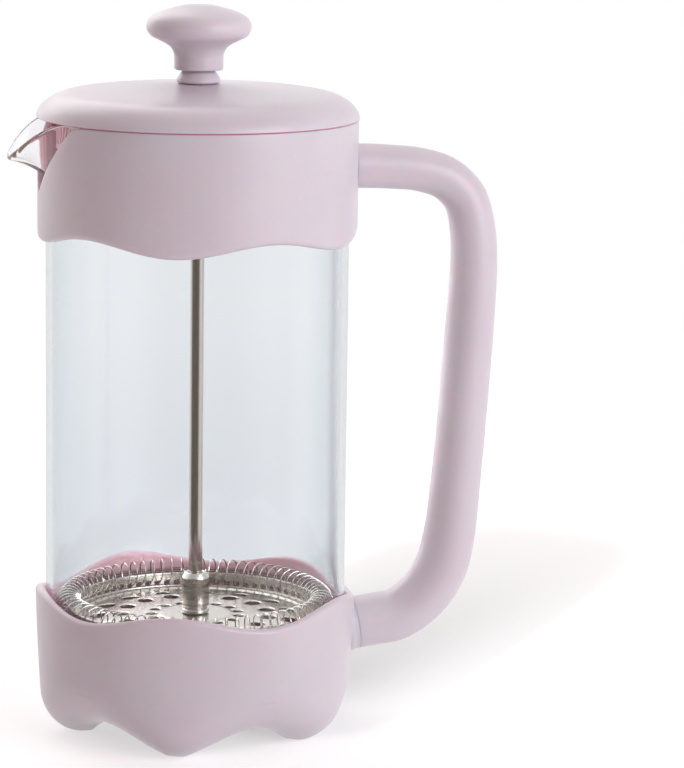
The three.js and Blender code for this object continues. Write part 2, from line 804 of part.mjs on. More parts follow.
// Cross plate: a rim and a hub joined by spokes
function crossPlate() {
  const disc = new THREE.Shape();
  disc.absarc(0, 0, crossRadius, 0, fullTurn, false);
  const windowOuter = crossRadius - crossRim;
  const arcSteps = 6;
  for (let i = 0; i < crossSpokes; i += 1) {
    const from = fullTurn * i / crossSpokes;
    const to = fullTurn * (i + 1) / crossSpokes;
    const outerInset = crossSpokeWidth / 2 / windowOuter;
    const innerInset = crossSpokeWidth / 2 / crossHub;
    const points = [];
    for (let k = 0; k <= arcSteps; k += 1) {
      const angle = THREE.MathUtils.lerp(from + outerInset, to - outerInset, k / arcSteps);
      points.push(new THREE.Vector2(windowOuter * Math.cos(angle), windowOuter * Math.sin(angle)));
    }
    for (let k = 0; k <= 2; k += 1) {
      const angle = THREE.MathUtils.lerp(to - innerInset, from + innerInset, k / 2);
      points.push(new THREE.Vector2(crossHub * Math.cos(angle), crossHub * Math.sin(angle)));
    }
    disc.holes.push(new THREE.Path().setFromPoints(points));
  }
  const bore = new THREE.Path();
  bore.absarc(0, 0, rodBore, 0, fullTurn, true);
  disc.holes.push(bore);
  const plate = new THREE.ExtrudeGeometry(disc, { depth: crossSheet, bevelEnabled: false, curveSegments: smallSteps });
  return closed(plate.translate(0, 0, crossTop - crossSheet));
}

// Finishes
const pinkPlastic = { color: 0xe6d3dc, roughness: 0.5, metalness: 0 };
const clearGlass = { color: 0xdfe8e6, roughness: 0.03, metalness: 0, transparent: true, opacity: 0.3 };
const brightSteel = { color: 0xb9b4ad, roughness: 0.22, metalness: 1 };
const sheetSteel = { color: 0xaaa59e, roughness: 0.3, metalness: 1 };
const brass = { color: 0xc9a653, roughness: 0.35, metalness: 1 };
const zincSteel = { color: 0xa7aab0, roughness: 0.4, metalness: 1 };

function piece(name, geometry, finish) {
  const mesh = new THREE.Mesh(geometry, new THREE.MeshStandardMaterial(finish));
  mesh.name = name;
  return mesh;
}

// A fastener that was made along +Z, laid along an axis from a point
function laid(mesh, start, axis) {
  mesh.position.copy(start);
  mesh.quaternion.setFromUnitVectors(new THREE.Vector3(0, 0, 1), axis);
  return mesh;
}

const press = new THREE.Group();

const frame = new THREE.Group();
const outward = new THREE.Vector3(1, 0, 0);
const topHead = new THREE.Vector3(frameBore + seatGap / 2, 0, handleTop);
const topInsert = new THREE.Vector3(collarRadius + seatGap + insertDepth, 0, handleTop);
frame.add(
  piece('base_cup', baseCup(), pinkPlastic),
  piece('upper_collar', upperCollar(), pinkPlastic),
  piece('handle', handle(), pinkPlastic),
  laid(piece('handle_top_screw', handleScrew(), zincSteel), topHead, outward),
  laid(piece('handle_bottom_screw', handleScrew(), zincSteel), stubPoint(screwSink - seatGap - baseWall), stubAxis),
  laid(piece('handle_top_insert', threadedInsert(), brass), topInsert, outward),
  laid(piece('handle_bottom_insert', threadedInsert(), brass),
    stubPoint(stubLength + seatGap + insertDepth), stubAxis),
);

const lid = new THREE.Group();
lid.add(
  piece('lid_cover', lidCover(), pinkPlastic),
  piece('lid_strainer', lidStrainer(), pinkPlastic),
);

const plunger = new THREE.Group();
plunger.add(
  piece('knob', knob(), pinkPlastic),
  piece('knob_insert', knobInsert(), brass),
  piece('plunger_rod', plungerRod(), brightSteel),
  piece('filter_hub', filterHub(), brightSteel),
  piece('spiral_plate', spiralPlate(), sheetSteel),
  piece('coil_spring', coilSpring(), brightSteel),
  piece('mesh_screen', meshScreen(), sheetSteel),
  piece('cross_plate', crossPlate(), sheetSteel),
  piece('clamp_stud', clampStud(), brightSteel),
);

press.add(
  frame,
  piece('glass_beaker', glassBeaker(), clearGlass),
  piece('guide_bush', guideBush(), pinkPlastic),
  lid,
  plunger,
);

// The origin is on the ground, at the middle of the whole press from spout to handle
const centre = new THREE.Box3().setFromObject(press, true).getCenter(new THREE.Vector3());
press.position.x = -centre.x;
press.updateMatrixWorld(true);

export default press;
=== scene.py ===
"""The looks of a piston coffee press: moulded plastic, clear glass, polished and pressed steel.

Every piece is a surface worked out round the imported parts. Lengths are in metres, +Z is up,
the spout points to -X and the handle to +X.
"""

import math

import bmesh
import bpy
import numpy as np
from mathutils import Matrix, Vector


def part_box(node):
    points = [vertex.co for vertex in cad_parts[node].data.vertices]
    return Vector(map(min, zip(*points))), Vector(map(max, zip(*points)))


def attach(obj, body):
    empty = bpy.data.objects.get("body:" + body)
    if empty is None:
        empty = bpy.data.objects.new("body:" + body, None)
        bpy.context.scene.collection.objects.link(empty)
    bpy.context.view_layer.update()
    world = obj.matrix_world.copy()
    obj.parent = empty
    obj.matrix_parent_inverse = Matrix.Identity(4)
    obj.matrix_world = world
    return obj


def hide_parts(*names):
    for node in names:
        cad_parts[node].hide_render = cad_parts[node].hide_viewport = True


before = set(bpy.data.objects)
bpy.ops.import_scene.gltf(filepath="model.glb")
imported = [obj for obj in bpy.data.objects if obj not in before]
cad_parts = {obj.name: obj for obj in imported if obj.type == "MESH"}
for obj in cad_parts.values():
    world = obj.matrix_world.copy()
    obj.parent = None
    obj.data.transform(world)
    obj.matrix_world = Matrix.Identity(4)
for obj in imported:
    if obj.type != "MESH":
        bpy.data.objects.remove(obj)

bl_info = {
    "name": "Piston coffee press",
    "version": (1, 0, 0),
    "blender": (4, 5, 0),
    "location": "3D View > Sidebar > Press",
    "description": "Builds the visible surfaces of a piston coffee press round its solid parts",
    "category": "Add Mesh",
}

MM = 0.001
DEGREE = math.pi / 180
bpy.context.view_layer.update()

# Heights and the axis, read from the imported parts


def heights(node):
    """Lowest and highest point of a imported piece."""
    return [corner.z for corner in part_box(node)]


AXIS_X = sum(corner.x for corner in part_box("plunger_rod")) / 2
BEAKER_BOTTOM, BEAKER_TOP = heights("glass_beaker")
LID_BOTTOM, LID_TOP = heights("lid_cover")
COLLAR_TOP = LID_BOTTOM - 0.08 * MM
SLEEVE_BOTTOM, BUSH_TOP = heights("guide_bush")
BUSH_BOTTOM = LID_TOP + 0.3 * MM
KNOB_BOTTOM, KNOB_TOP = heights("knob")
SPRING_TOP = heights("coil_spring")[1]
HUB_BOTTOM, HUB_TOP = heights("filter_hub")
SCREEN_BOTTOM = heights("mesh_screen")[0]
FLOOR_BOTTOM, WALL_TOP = heights("spiral_plate")


# Settings that a user may change


def length(name, millimetres, description):
    """A property for a length, in metres with a default in millimetres."""
    return bpy.props.FloatProperty(
        name=name, description=description, default=millimetres * MM, min=0, precision=5, unit="LENGTH"
    )


def turn_angle(name, degrees, description):
    """A property for an angle, with a default in degrees."""
    return bpy.props.FloatProperty(
        name=name, description=description, default=degrees * DEGREE, subtype="ANGLE", unit="ROTATION"
    )


def colour(name, default, description):
    """A property for a colour, written as an sRGB hex value."""
    return bpy.props.StringProperty(name=name, description=description, default=default)


class PressSizes(bpy.types.PropertyGroup):
    """Radii, walls and depths of the press."""

    gap: length("Gap", 0.3, "Clearance between pieces that touch")
    beaker_radius: length("Beaker radius", 48, "Outside radius of the glass")
    beaker_wall: length("Beaker wall", 2, "Thickness of the glass wall")
    beaker_floor: length("Beaker floor", 3, "Thickness of the glass floor")
    beaker_corner: length("Beaker corner", 8, "Radius between wall and floor of the glass")
    spout_reach: length("Spout reach", 12.3, "How far the lip stands out of the wall")
    spout_dip: length("Spout dip", 12.7, "How far the lip lies below the rim")
    spout_depth: length("Spout depth", 29, "Height of wall that is drawn out into the spout")
    frame_bore: length("Frame bore", 48.4, "Inside radius of base and collar")
    base_wall: length("Base wall", 2.9, "Thickness of the base")
    base_taper: length("Base taper", 1.3, "How much narrower the base is where its feet turn in")
    base_height: length("Base height", 45.3, "Mean height of the upper edge of the base")
    base_wave: length("Base wave", 2.2, "Height of the wave of that edge")
    foot_corner: length("Foot corner", 13.8, "How far the wall turns in, and how high the turn is at a foot")
    arch_corner: length("Arch corner", 17, "Height of the turn between two feet")
    foot_pad: length("Foot pad", 2.5, "Width of the flat that each foot stands on")
    arch_height: length("Arch height", 7.8, "Height of the arches between the feet")
    ledge_height: length("Ledge height", 21.2, "Height of the ledge under the glass")
    ledge_wall: length("Ledge thickness", 2.5, "Thickness of that ledge")
    ledge_opening: length("Ledge opening", 20, "Radius of the hole in the ledge")
    stub_radius: length("Stub radius", 8.5, "Radius of the stub that carries the handle")
    stub_height: length("Stub height", 31.7, "Height of the stub's axis at the base")
    stub_length: length("Stub length", 1.4, "From the base to the seam between stub and handle")
    collar_wall: length("Collar wall", 2.2, "Thickness of the collar")
    collar_height: length("Collar height", 36.5, "Mean height of the collar")
    collar_wave: length("Collar wave", 2, "Height of the wave of its lower edge")
    collar_round: length("Collar rounding", 2.4, "Rounding of its lower edge")
    notch_depth: length("Notch depth", 23.4, "Depth of the notch for the spout")
    handle_reach: length("Handle reach", 90.4, "From the axis to the middle of the handle")
    handle_drop: length("Handle drop", 16, "From the top of the collar to the middle of the handle")
    handle_radius: length("Handle radius", 8, "Radius of the handle")
    lid_radius: length("Lid radius", 50.9, "Radius of the lid")
    lid_wall: length("Lid wall", 2.4, "Thickness of the lid")
    skirt_radius: length("Skirt radius", 45.4, "Outside radius of the strainer's skirt")
    skirt_wall: length("Skirt wall", 1.8, "Thickness of that skirt")
    skirt_depth: length("Skirt depth", 9.5, "How far the skirt hangs below the rim")
    knob_radius: length("Knob radius", 16.45, "Radius of the knob")
    knob_neck: length("Knob neck", 7.75, "Radius of the knob's neck")
    rod_radius: length("Rod radius", 2.2, "Radius of the plunger rod")
    hub_radius: length("Hub radius", 4.4, "Radius of the sleeve at the foot of the rod")
    spring_ring: length("Spring ring", 40.8, "Radius of the ring that the coil follows")
    spring_radius: length("Spring radius", 4.1, "Outside radius of the coil")
    spring_wire: length("Spring wire", 0.46, "Thickness of the wire")
    pan_sheet: length("Pan sheet", 0.5, "Thickness of the spiral plate")
    pan_drop: length("Pan drop", 1.2, "How far its floor falls towards the wall")
    window_height: length("Window height", 1.7, "Height of the windows in its wall")
    screen_lip: length("Screen lip", 45.6, "Radius of the lip of the mesh screen, outside the coil")
    screen_sheet: length("Screen sheet", 0.4, "Thickness of the mesh screen")
    cross_radius: length("Cross plate radius", 42.2, "Radius of the cross plate")
    cross_sheet: length("Cross plate sheet", 0.8, "Thickness of the cross plate")
    spring_turns: bpy.props.IntProperty(
        name="Spring turns", description="Turns of the coil, one for each window", default=75, min=30
    )


class PressColours(bpy.types.PropertyGroup):
    """Colours of the finishes, as sRGB hex values."""

    plastic: colour("Plastic", "#E1D8E0", "Pale pink of the moulded plastic")
    plastic_deep: colour("Plastic, deeper", "#DED3DC", "The same where the moulding is a little denser")
    plastic_inside: colour("Plastic, inside", "#DEB2BC", "The same where pink walls light one another")
    plastic_glow: colour("Plastic, glow", "#EBA3AC", "Light that comes through its thin walls")
    # Painted shade: the crease between lid and collar is drawn in this deeper pink
    plastic_crease_shade: colour("Plastic, crease", "#D999A9", "The same in the crease between lid and collar")
    glass: colour("Glass", "#FDFDFE", "Tint of the clear glass")
    glass_tip: colour("Glass, tip", "#C2AE98", "Light that the drawn glass gathers at the tip of the spout")
    glass_root: colour("Glass, root", "#DEA4B0", "The same beside the pink collar")
    glass_edge: colour("Glass, edge", "#D6DCE1", "Tint of the glass where it is seen at a slant")
    glass_body: colour("Glass, body", "#D2DADF", "What a thickness of the glass does to white light")
    steel: colour("Polished steel", "#CFCAC4", "Rod, hub and spring")
    sheet: colour("Pressed steel", "#C9C4BD", "Pan and cross plate")
    # Partly painted shade: darker than bare woven wire, so that the screen's lip reads as shade between the
    # spring's turns
    wire: colour("Woven wire", "#6E6860", "Mesh screen")
    brass: colour("Brass", "#C9A653", "Threaded inserts")
    zinc: colour("Zinc", "#B6B9BE", "Plated screws")
    floor: colour("Floor", "#F2F2F2", "Table")
    floor_shadow: colour("Floor, shadow", "#E6E6E6", "How strongly the table shows the shadow")
    behind_glass: colour("Behind the glass", "#F2F6F8", "Backdrop where it is seen through the glass")
    under_glass: colour("Under the glass", "#DCE4E8", "Table where it is seen through the glass")


class StageSettings(bpy.types.PropertyGroup):
    """Camera, lamps and floor."""

    camera_distance: length("Camera distance", 1120.5, "From the press's axis to the camera, level")
    camera_height: length("Camera height", 316.6, "Height of the camera")
    camera_azimuth: turn_angle("Camera azimuth", -10, "Turn of the camera about the press")
    camera_pitch: turn_angle("Camera pitch", 10.316, "How far the camera looks down")
    camera_yaw: turn_angle("Camera yaw", 2.371, "How far the camera looks to the right of the axis")
    camera_roll: turn_angle("Camera roll", 0.8, "Tilt of the camera about its view")
    camera_lens: bpy.props.FloatProperty(
        name="Camera lens", description="Focal length in millimetres", default=167.2, min=1
    )


# Outlines and meshes


def pairs(*columns):
    """Points from their coordinates, each of which may be one number for all."""
    return np.stack(np.broadcast_arrays(*columns), axis=-1)


def polar(radius, angle, *rest):
    """Points from radius and angle: the radius times cosine and sine of the angle, then the rest."""
    return pairs(radius * np.cos(angle), radius * np.sin(angle), *rest)


def oval(centre_radius, centre_height, reach, rise, start, end, steps):
    """Points of an ellipse in a section: its centre plus reach times cosine and rise times sine of an
    angle that runs evenly from start to end. Each number may differ from angle to angle."""
    turn = start + (end - start) * np.linspace(0, 1, steps + 1)
    return pairs(centre_radius + reach * np.cos(turn), centre_height + rise * np.sin(turn))


def arc(centre_radius, centre_height, radius, start, end, steps):
    """Points of an arc in a section, which is an oval as high as it is wide."""
    return oval(centre_radius, centre_height, radius, radius, start, end, steps)


def line(start, end, steps):
    """Evenly spaced points between two points, the last one left out."""
    share = np.arange(steps)[:, None] / steps
    return np.asarray(start) * (1 - share) + np.asarray(end) * share


def rounded(corners, radii, steps=6):
    """An outline whose corners are rounded by radii in millimetres. Each corner gives way to an arc that
    touches both sides: it starts and ends radius times the tangent of half the turn from the corner."""
    corners, radii = np.asarray(corners, float), np.asarray(radii) * MM
    parts = [corners[:1]]
    for before, here, after, radius in zip(corners[:-2], corners[1:-1], corners[2:], radii[1:-1]):
        came = (here - before) / np.linalg.norm(here - before)
        goes = (after - here) / np.linalg.norm(after - here)
        turn = math.atan2(came[0] * goes[1] - came[1] * goes[0], came @ goes)
        if radius == 0 or abs(turn) < 1e-3:
            parts.append(here[None])
            continue
        reach = radius * math.tan(abs(turn) / 2)
        side = np.array([-came[1], came[0]]) * math.copysign(1, turn)
        centre = here - came * reach + side * radius
        first = math.atan2(-side[1], -side[0])
        parts.append(centre + polar(radius, first + turn * np.linspace(0, 1, steps + 1)))
    parts.append(corners[-1:])
    return np.concatenate(parts)


def smooth_line(points, count):
    """A smooth curve through points: cubic stretches between neighbours, with each point's slope the
    mean of the slopes beside it, weighted by how close they are."""
    points = np.asarray(points, float)
    gaps = np.sqrt(np.linalg.norm(np.diff(points, axis=0), axis=1))
    knots = np.concatenate([[0], np.cumsum(gaps)])
    chords = np.diff(points, axis=0) / gaps[:, None]
    slopes = np.empty_like(points)
    slopes[0], slopes[-1] = chords[0], chords[-1]
    before, after = gaps[:-1, None], gaps[1:, None]
    slopes[1:-1] = (chords[:-1] * after + chords[1:] * before) / (before + after)
    place = np.linspace(0, knots[-1], count)
    i = np.clip(np.searchsorted(knots, place, side="right") - 1, 0, len(gaps) - 1)
    s = ((place - knots[i]) / gaps[i])[:, None]
    run = gaps[i][:, None]
    return (
        (2 * s**3 - 3 * s**2 + 1) * points[i]
        + (s**3 - 2 * s**2 + s) * run * slopes[i]
        + (3 * s**2 - 2 * s**3) * points[i + 1]
        + (s**3 - s**2) * run * slopes[i + 1]
    )


def evenly(points, count):
    """Points at equal distances along a line of points."""
    steps = np.linalg.norm(np.diff(points, axis=0), axis=1)
    reach = np.concatenate([[0], np.cumsum(steps)])
    wanted = np.linspace(0, reach[-1], count)
    return np.stack([np.interp(wanted, reach, column) for column in points.T], axis=1)


def smooth_step(value):
    """0 below 0, 1 above 1, and between them three squares less two cubes."""
    s = np.clip(value, 0, 1)
    return s * s * (3 - 2 * s)


def turns(count):
    """Evenly spaced angles of one full turn."""
    return np.arange(count) * 2 * np.pi / count


def section(count, *stretches):
    """Joins stretches of a section, each the same all round or its own at each angle."""
    return np.concatenate([np.broadcast_to(s, (count,) + np.shape(s)[-2:]) for s in stretches], axis=1)


def around(angle, profile):
    """Carries a section of (radius, height) round the press's axis."""
    radius, height = profile[..., 0], profile[..., 1]
    return polar(radius, np.reshape(angle, (-1, 1)), height) + [AXIS_X, 0, 0]


def grid_faces(rows, columns, loop_rows, loop_columns):
    """Quads between neighbouring rows and columns of a grid of points."""
    index = np.arange(rows * columns).reshape(rows, columns)
    if loop_rows:
        index = np.concatenate([index, index[:1]])
    if loop_columns:
        index = np.concatenate([index, index[:, :1]], axis=1)
    return np.stack([index[:-1, :-1], index[:-1, 1:], index[1:, 1:], index[1:, :-1]], axis=-1).reshape(-1, 4)


def shaded(mesh, crease):
    """Smooth shading, but for edges that are sharper than the crease."""
    mesh.shade_smooth()
    mesh.set_sharp_from_angle(angle=crease)


def surface(name, points, faces, crease=35 * DEGREE):
    """An object from points and faces: doubles are merged, a closed surface is turned so that the volume
    in it is positive, and edges sharper than the crease stay sharp."""
    mesh = bpy.data.meshes.new(name)
    mesh.from_pydata(np.asarray(points, float).reshape(-1, 3), [], faces)
    work = bmesh.new()
    work.from_mesh(mesh)
    bmesh.ops.remove_doubles(work, verts=work.verts, dist=2e-6)
    bmesh.ops.dissolve_degenerate(work, edges=work.edges, dist=1e-7)
    if work.calc_volume(signed=True) < 0:
        bmesh.ops.reverse_faces(work, faces=work.faces)
    work.to_mesh(mesh)
    work.free()
    shaded(mesh, crease)
    made = bpy.data.objects.new(name, mesh)
    bpy.context.scene.collection.objects.link(made)
    return made


def sheet_surface(name, grid, loop_rows=True, loop_columns=True, crease=35 * DEGREE):
    """An object from a grid of points."""
    rows, columns = grid.shape[:2]
    return surface(name, grid, grid_faces(rows, columns, loop_rows, loop_columns), crease)


def turned(name, profile, steps=96, crease=35 * DEGREE):
    """A body turned about the press's axis from a section of (radius, height) points."""
    closes = profile[0][0] > 0
    return sheet_surface(name, around(turns(steps), np.asarray(profile)[None]), True, closes, crease)


def laid(profile, start, direction, steps=48):
    """A body turned about an axis of its own: start plus the height along the direction, plus the radius
    across it."""
    axis = np.asarray(direction, float)
    across = np.array([0.0, 1.0, 0.0])
    upward = np.cross(axis, across)
    angle = turns(steps)[:, None, None]
    profile = np.asarray(profile)
    radius, height = profile[None, :, :1], profile[None, :, 1:]
    return np.asarray(start) + height * axis + radius * (np.cos(angle) * across + np.sin(angle) * upward)


def baked(obj, crease=35 * DEGREE):
    """Applies the object's modifiers to its mesh."""
    graph = bpy.context.evaluated_depsgraph_get()
    made = bpy.data.meshes.new_from_object(obj.evaluated_get(graph))
    obj.modifiers.clear()
    obj.data = made
    shaded(made, crease)
    return obj


def carved(obj, start, direction, socket_length):
    """Cuts a screw's place out of an object: a wide socket for the head and a narrow bore for the shank."""
    head, shank, bore_length = 3.7 * MM, 1.9 * MM, 8 * MM
    end = socket_length + bore_length
    tool = sheet_surface("screw_place", laid([
        [0, 0], [head, 0], [head, socket_length], [shank, socket_length], [shank, end], [0, end],
    ], start, direction), True, False)
    cut = obj.modifiers.new("Cut", "BOOLEAN")
    cut.operation, cut.solver, cut.object = "DIFFERENCE", "EXACT", tool
    baked(obj)
    bpy.data.objects.remove(tool)
    return obj


def thickened(obj, thickness, crease=35 * DEGREE):
    """Gives a single sheet its thickness, away from the side that it faces."""
    wall = obj.modifiers.new("Sheet", "SOLIDIFY")
    wall.thickness = thickness
    wall.offset = -1
    wall.use_even_offset = True
    return baked(obj, crease)


def settle(obj, body, slot, node, look=None):
    """Gives a piece the finish of its slot or another look, lets it stand for its CAD node and ride on the
    node's body."""
    obj.data.materials.clear()
    obj.data.materials.append(finish(look or slot))
    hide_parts(node)
    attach(obj, body)
    return obj


# Finishes


def linear(text):
    """Linear colour with alpha from an sRGB hex value."""
    shares = [int(text[i:i + 2], 16) / 255 for i in (1, 3, 5)]
    return tuple(s / 12.92 if s <= 0.04045 else ((s + 0.055) / 1.055) ** 2.4 for s in shares) + (1.0,)


def add(tree, kind, inputs=(), output=None, **settings):
    """Adds a shader node with its settings. The inputs are values, or sockets to link, by name or in the
    node's order; those of a Map Range are the value, its range and the new range. Returns the output of
    that name, or else the first one in use."""
    made = tree.nodes.new("ShaderNode" + kind)
    inputs = inputs if isinstance(inputs, dict) else dict(enumerate(inputs))
    for name, value in settings.items():
        setattr(made, name, value)
    for name, value in inputs.items():
        if isinstance(value, bpy.types.NodeSocket):
            tree.links.new(value, made.inputs[name])
        else:
            made.inputs[name].default_value = value
    return made.outputs[output] if output else next((o for o in made.outputs if o.enabled), None)


def blank_material(name):
    """A material with an empty node tree, and the place of a point on the piece."""
    made = bpy.data.materials.new(name)
    made.use_nodes = True
    made.node_tree.nodes.clear()
    return made, made.node_tree, add(made.node_tree, "TexCoord", output="Object")


WAVE_LENGTH = math.pi / 10  # of a wave texture whose scale is 1


def per_metre(millimetres):
    """Scale of a pattern that repeats in a real size."""
    return 1 / (millimetres * MM)


def tint(name):
    """Linear colour of one of the finishes' settings."""
    return linear(getattr(bpy.context.scene.press_colours, name))


def where_light_bounces(tree, place, tone):
    """The tone with painted shade and bounce light: deeper inside base and collar, where pink walls light one
    another, and deepest in the crease under the lid, and how much a place lies inside."""
    flat = add(tree, "VectorMath", (place, (1.0, 1.0, 0.0), (-AXIS_X, 0.0, 0.0)), operation="MULTIPLY_ADD")
    radius = add(tree, "VectorMath", (flat,), operation="LENGTH")
    height = add(tree, "SeparateXYZ", {"Vector": place}, "Z")
    bore = bpy.context.scene.press_sizes.frame_bore
    inside = add(tree, "MapRange", (radius, bore + 0.9 * MM, bore + 0.1 * MM))
    low, high = BEAKER_BOTTOM - 3 * MM, LID_BOTTOM - 0.5 * MM
    between = add(tree, "Math", (height, (low + high) / 2, (high - low) / 2), operation="COMPARE")
    inside = add(tree, "Math", (inside, between), operation="MULTIPLY")
    # A thin band at the crease under the lid, which gets the painted crease shade
    crease = add(tree, "Math", (height, LID_BOTTOM, 0.22 * MM), operation="COMPARE")
    for where, deeper in ((inside, "plastic_inside"), (crease, "plastic_crease_shade")):
        tone = add(tree, "Mix", {"Factor": where, "A": tone, "B": tint(deeper)}, data_type="RGBA")
    return tone, inside


def moulded_plastic():
    """Moulded polypropylene, tumbled satin mould: soft wide highlights on an even pale pink that turns
    deeper where light bounces between two pink walls."""
    made, tree, place = blank_material("moulded_polypropylene")
    cloud = add(tree, "TexNoise", {"Vector": place, "Scale": per_metre(40), "Detail": 2.0})
    tone = add(tree, "ValToRGB", {"Fac": cloud})
    ends = ((0.35, "plastic_deep"), (0.65, "plastic"))
    for element, (position, name) in zip(tone.node.color_ramp.elements, ends):
        element.position, element.color = position, tint(name)
    # The mould's eroded grain is 0.1 mm; it is drawn at 0.5 mm so that it still shows
    grain = add(tree, "TexNoise", {"Vector": place, "Scale": per_metre(0.5), "Detail": 3.0})
    gloss = add(tree, "MapRange", (cloud, 0, 1, 0.28, 0.36))
    relief = add(tree, "Bump", {"Height": grain, "Strength": 0.25, "Distance": 0.02 * MM})
    tone, inside = where_light_bounces(tree, place, tone)
    # Thin walls let some of the light behind them through, which gives their inner side a pink glow
    depth = add(tree, "SeparateXYZ", {"Vector": place}, "Y")
    behind = add(tree, "MapRange", (depth, -10 * MM, 20 * MM, 0, 0.05))
    glow = add(tree, "Math", (inside, behind), operation="MULTIPLY")
    shader = add(tree, "BsdfPrincipled", {
        "Base Color": tone, "Roughness": gloss, "Normal": relief, "IOR": 1.49,
        "Emission Color": tint("plastic_glow"), "Emission Strength": glow, "Subsurface Weight": 0.55,
        "Subsurface Scale": 3.5 * MM, "Subsurface Radius": (1.0, 0.3, 0.38),
    })
    add(tree, "OutputMaterial", {"Surface": shader})
    return made


def clear_glass():
    """Blown borosilicate glass: clear and smooth, a faint grey-blue where it is seen edge on."""
    made, tree, place = blank_material("blown_borosilicate_glass")
    # Blowing leaves the wall a trace uneven, in vertical streaks some 12 mm wide
    stretch = add(tree, "Mapping", {"Vector": place, "Scale": (1.0, 1.0, 0.15)})
    streak = add(tree, "TexNoise", {"Vector": stretch, "Scale": per_metre(12)})
    relief = add(tree, "Bump", {"Height": streak, "Strength": 0.1, "Distance": 0.05 * MM})
    slant = add(tree, "LayerWeight", {"Blend": 0.5}, "Facing")
    edge = add(tree, "MapRange", (slant, 0.3, 0.75))
    clear = add(tree, "Mix", {"Factor": edge, "A": tint("glass"), "B": tint("glass_edge")}, data_type="RGBA")
    # The drawn glass of the spout gathers a little light, pink beside the collar
    wall = AXIS_X - bpy.context.scene.press_sizes.beaker_radius
    axes = add(tree, "SeparateXYZ", {"Vector": place}).node.outputs
    drawn = add(tree, "Math", (axes["X"], wall + 6 * MM), operation="LESS_THAN")
    root = add(tree, "MapRange", (axes["X"], wall - 8 * MM, wall))
    warm = add(tree, "Mix", {
        "Factor": root, "A": tint("glass_tip"), "B": tint("glass_root"),
    }, data_type="RGBA")
    high = add(tree, "MapRange", (axes["Z"], BEAKER_TOP - 26 * MM, BEAKER_TOP - 14 * MM, 0, 0.06))
    gathered = add(tree, "Math", (drawn, high), operation="MULTIPLY")
    shader = add(tree, "BsdfPrincipled", {
        "Base Color": clear, "Roughness": 0.0, "IOR": 1.47, "Transmission Weight": 1.0, "Normal": relief,
        "Emission Color": warm, "Emission Strength": gathered,
    })
    body = add(tree, "VolumeAbsorption", {"Color": tint("glass_body"), "Density": 12.0})
    add(tree, "OutputMaterial", {"Surface": shader, "Volume": body})
    return made


def metal(name, colour_name, roughness, grain, stretch=(1.0, 1.0, 1.0), detail=3.0, waves=0.0):
    """Metal of an even colour, whose gloss and relief follow the fine marks of its making, over broad
    waves of a strength that may be 0. The grain is in millimetres, across the marks."""
    made, tree, place = blank_material(name)
    drawn_out = add(tree, "Mapping", {"Vector": place, "Scale": stretch})
    marks = add(tree, "TexNoise", {"Vector": drawn_out, "Scale": per_metre(grain), "Detail": detail})
    gloss = add(tree, "MapRange", (marks, 0, 1, roughness[0], roughness[1]))
    broad = add(tree, "TexNoise", {"Vector": place, "Scale": per_metre(16), "Detail": 0.0})
    soft = add(tree, "Bump", {"Height": broad, "Strength": waves, "Distance": 0.4 * MM})
    relief = add(tree, "Bump", {"Height": marks, "Strength": 0.2, "Distance": 0.01 * MM, "Normal": soft})
    shader = add(tree, "BsdfPrincipled", {
        "Base Color": tint(colour_name), "Metallic": 1.0, "Roughness": gloss, "Normal": relief,
    })
    add(tree, "OutputMaterial", {"Surface": shader})
    return made


def bright_steel():
    """Polished stainless steel, drawn and buffed: nearly a mirror, with hairlines along the axis."""
    # Buffing lines are a few hundredths of a millimetre wide; they are drawn at 0.3 mm
    return metal("polished_stainless_steel", "steel", (0.06, 0.18), 0.3, (1.0, 1.0, 0.03))


def pressed_steel():
    """Deep-drawn stainless sheet: bright, with a faint roll grain and the soft waves that pressing leaves."""
    # Roll grain is some 0.02 mm wide; it is drawn at 0.4 mm
    return metal("pressed_stainless_sheet", "sheet", (0.18, 0.26), 0.4, (0.05, 1.0, 1.0), waves=0.5)


def turned_brass():
    """Machined brass: warm yellow with fine tool marks."""
    return metal("machined_brass", "brass", (0.256, 0.416), 0.3, detail=2.0)


def plated_zinc():
    """Zinc-plated steel: a cool, slightly cloudy grey."""
    return metal("zinc_plated_steel", "zinc", (0.32, 0.52), 0.6, detail=2.0)


def woven_wire():
    """Woven stainless wire: a dull grey cloth of metal, half open to what lies behind it. Its grey is partly
    painted shade: darker than bare wire, so that it reads dark between the spring's turns.
    """
    made, tree, place = blank_material("woven_stainless_wire")
    # On the lip the wires run upright and round the axis, below it across each other
    middle = add(tree, "VectorMath", (place, (AXIS_X, 0.0, 0.0)), operation="SUBTRACT")
    axes = add(tree, "SeparateXYZ", {"Vector": middle}).node.outputs
    turn = add(tree, "Math", (axes["Y"], axes["X"]), operation="ARCTAN2")
    along = add(tree, "Math", (turn, bpy.context.scene.press_sizes.screen_lip), operation="MULTIPLY")
    rolled = add(tree, "CombineXYZ", {"X": along, "Y": axes["Z"]})
    on_lip = add(tree, "Math", (axes["Z"], SCREEN_BOTTOM + 1 * MM), operation="GREATER_THAN")
    laid_out = add(tree, "Mix", {"Factor": on_lip, "A": place, "B": rolled}, data_type="VECTOR")
    # The real mesh has a wire every 0.2 mm; it is drawn every 0.7 mm
    scale = per_metre(0.7) * WAVE_LENGTH
    waves = [
        add(tree, "TexWave", {"Vector": laid_out, "Scale": scale}, "Fac", bands_direction=way)
        for way in ("X", "Y")
    ]
    weave = add(tree, "Math", (waves[0], waves[1]), operation="MAXIMUM")
    relief = add(tree, "Bump", {"Height": weave, "Strength": 0.6, "Distance": 0.15 * MM})
    solid = add(tree, "Math", (weave, 0.94), operation="GREATER_THAN")
    shader = add(tree, "BsdfPrincipled", {
        "Base Color": tint("wire"), "Metallic": 1.0, "Roughness": 0.38, "Normal": relief, "Alpha": solid,
    })
    add(tree, "OutputMaterial", {"Surface": shader})
    return made


